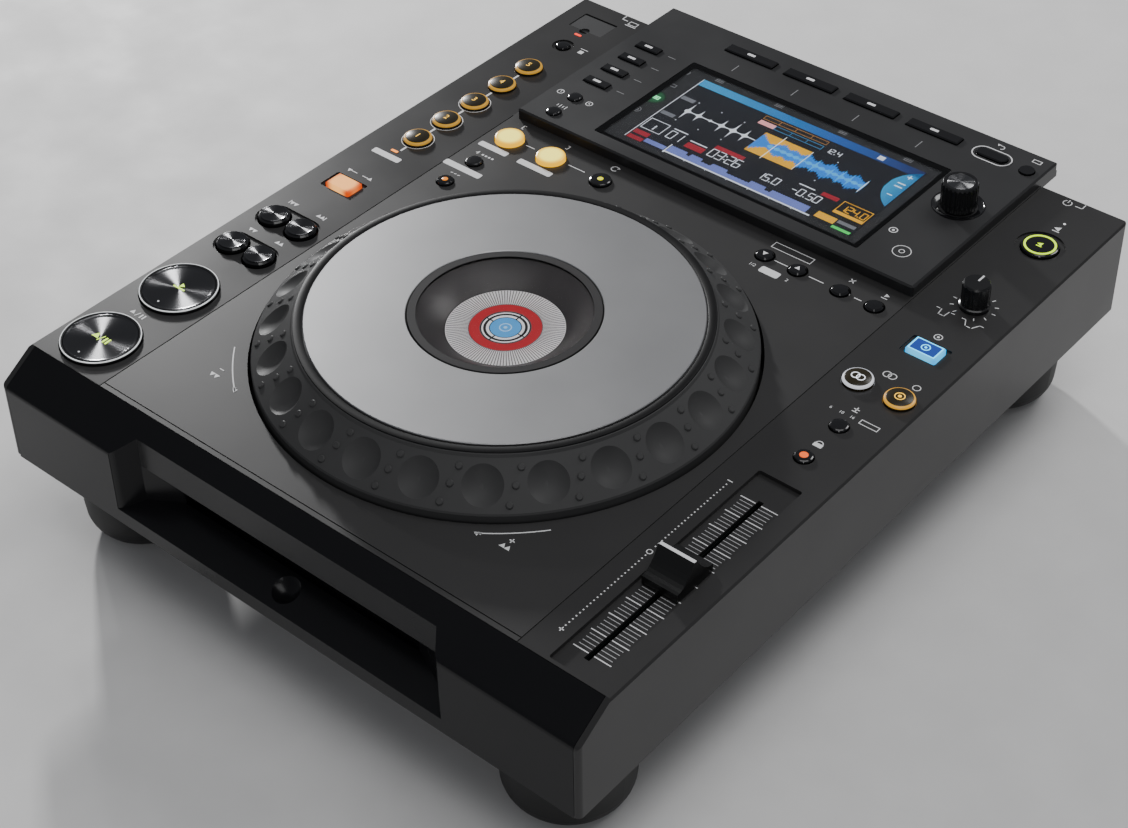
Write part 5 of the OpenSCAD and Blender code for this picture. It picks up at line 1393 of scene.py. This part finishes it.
class PLAYER_OT_stage(bpy.types.Operator):
    """Pale floor, soft lights and the camera"""
    bl_idname = "player.stage"
    bl_label = "Stage"

    def execute(self, context):
        s = context.scene.player_stage
        select_none()
        bpy.ops.mesh.primitive_grid_add(x_subdivisions=12, y_subdivisions=12, size=s.floor)
        floor = context.object
        floor.name = "floor"
        floor.data.materials.append(moulded("pale_floor", (0.74, 0.735, 0.73), 0.6, 0.75, 300.0,
                                            0.02))
        aim = Vector((0, 0, 0.08))
        for name, place, size, power in (
                ("key_light", (-1.39, 0.79, 0.52), (0.10, 0.10), s.key),
                ("top_light", (0.30, -0.10, 1.50), (1.2, 1.2), s.top),
                ("glint_light", (-1.45, 0.56, 0.72), (0.06, 0.06), s.glint),
                ("rear_light", (0.25, 1.15, 1.15), (0.6, 0.6), s.rear),
                ("edge_light", (0.95, -1.25, 0.55), (0.25, 1.1), s.side)):
            bpy.ops.object.light_add(type="AREA", location=place)
            source = context.object
            source.name = name
            source.data.shape = "RECTANGLE"
            source.data.size, source.data.size_y = size
            source.data.energy = power
            source.rotation_euler = (Vector(place) - aim).to_track_quat("Z", "Y").to_euler()
        world = bpy.data.worlds.new("room")
        world.use_nodes = True
        room = world.node_tree.nodes["Background"].inputs
        room["Color"].default_value = (0.9, 0.93, 1.0, 1.0)
        room["Strength"].default_value = s.air
        context.scene.world = world
        bpy.ops.object.camera_add(location=s.place, rotation=s.turn)
        camera = context.object
        camera.name = "camera"
        camera.data.lens = s.lens
        camera.data.sensor_width = 36.0
        camera.data.shift_y = s.shift
        context.scene.camera = camera
        return {"FINISHED"}


OPERATORS = (
    PLAYER_OT_stage, PLAYER_OT_finishes, PLAYER_OT_deck_print, PLAYER_OT_deck_symbols,
    PLAYER_OT_jog_arrows, PLAYER_OT_tempo_scale, PLAYER_OT_vinyl_scale, PLAYER_OT_slider_line,
    PLAYER_OT_transport_faces, PLAYER_OT_search_faces, PLAYER_OT_lit_faces,
    PLAYER_OT_key_marks, PLAYER_OT_housing_print, PLAYER_OT_screen, PLAYER_OT_jog_dial,
    PLAYER_OT_knob_faces, PLAYER_OT_rear_details)


class PLAYER_PT_panel(bpy.types.Panel):
    """Steps that dress the disc player"""
    bl_idname = "PLAYER_PT_panel"
    bl_label = "Disc Player"
    bl_space_type = "VIEW_3D"
    bl_region_type = "UI"
    bl_category = "Disc Player"

    def draw(self, context):
        for operator in OPERATORS:
            self.layout.operator(operator.bl_idname)


GROUPS = {"player_finish": PlayerFinish, "player_light": PlayerLight, "player_dial": PlayerDial,
          "player_stage": PlayerStage}


def register():
    for name, group in GROUPS.items():
        bpy.utils.register_class(group)
        setattr(bpy.types.Scene, name, PointerProperty(type=group))
    for operator in OPERATORS:
        bpy.utils.register_class(operator)
    bpy.utils.register_class(PLAYER_PT_panel)


def unregister():
    bpy.utils.unregister_class(PLAYER_PT_panel)
    for operator in reversed(OPERATORS):
        bpy.utils.unregister_class(operator)
    for name, group in reversed(GROUPS.items()):
        delattr(bpy.types.Scene, name)
        bpy.utils.unregister_class(group)


def main():
    register()
    for operator in OPERATORS:
        space, name = operator.bl_idname.split(".")
        getattr(getattr(bpy.ops, space), name)()


if __name__ == "__main__":
    main()
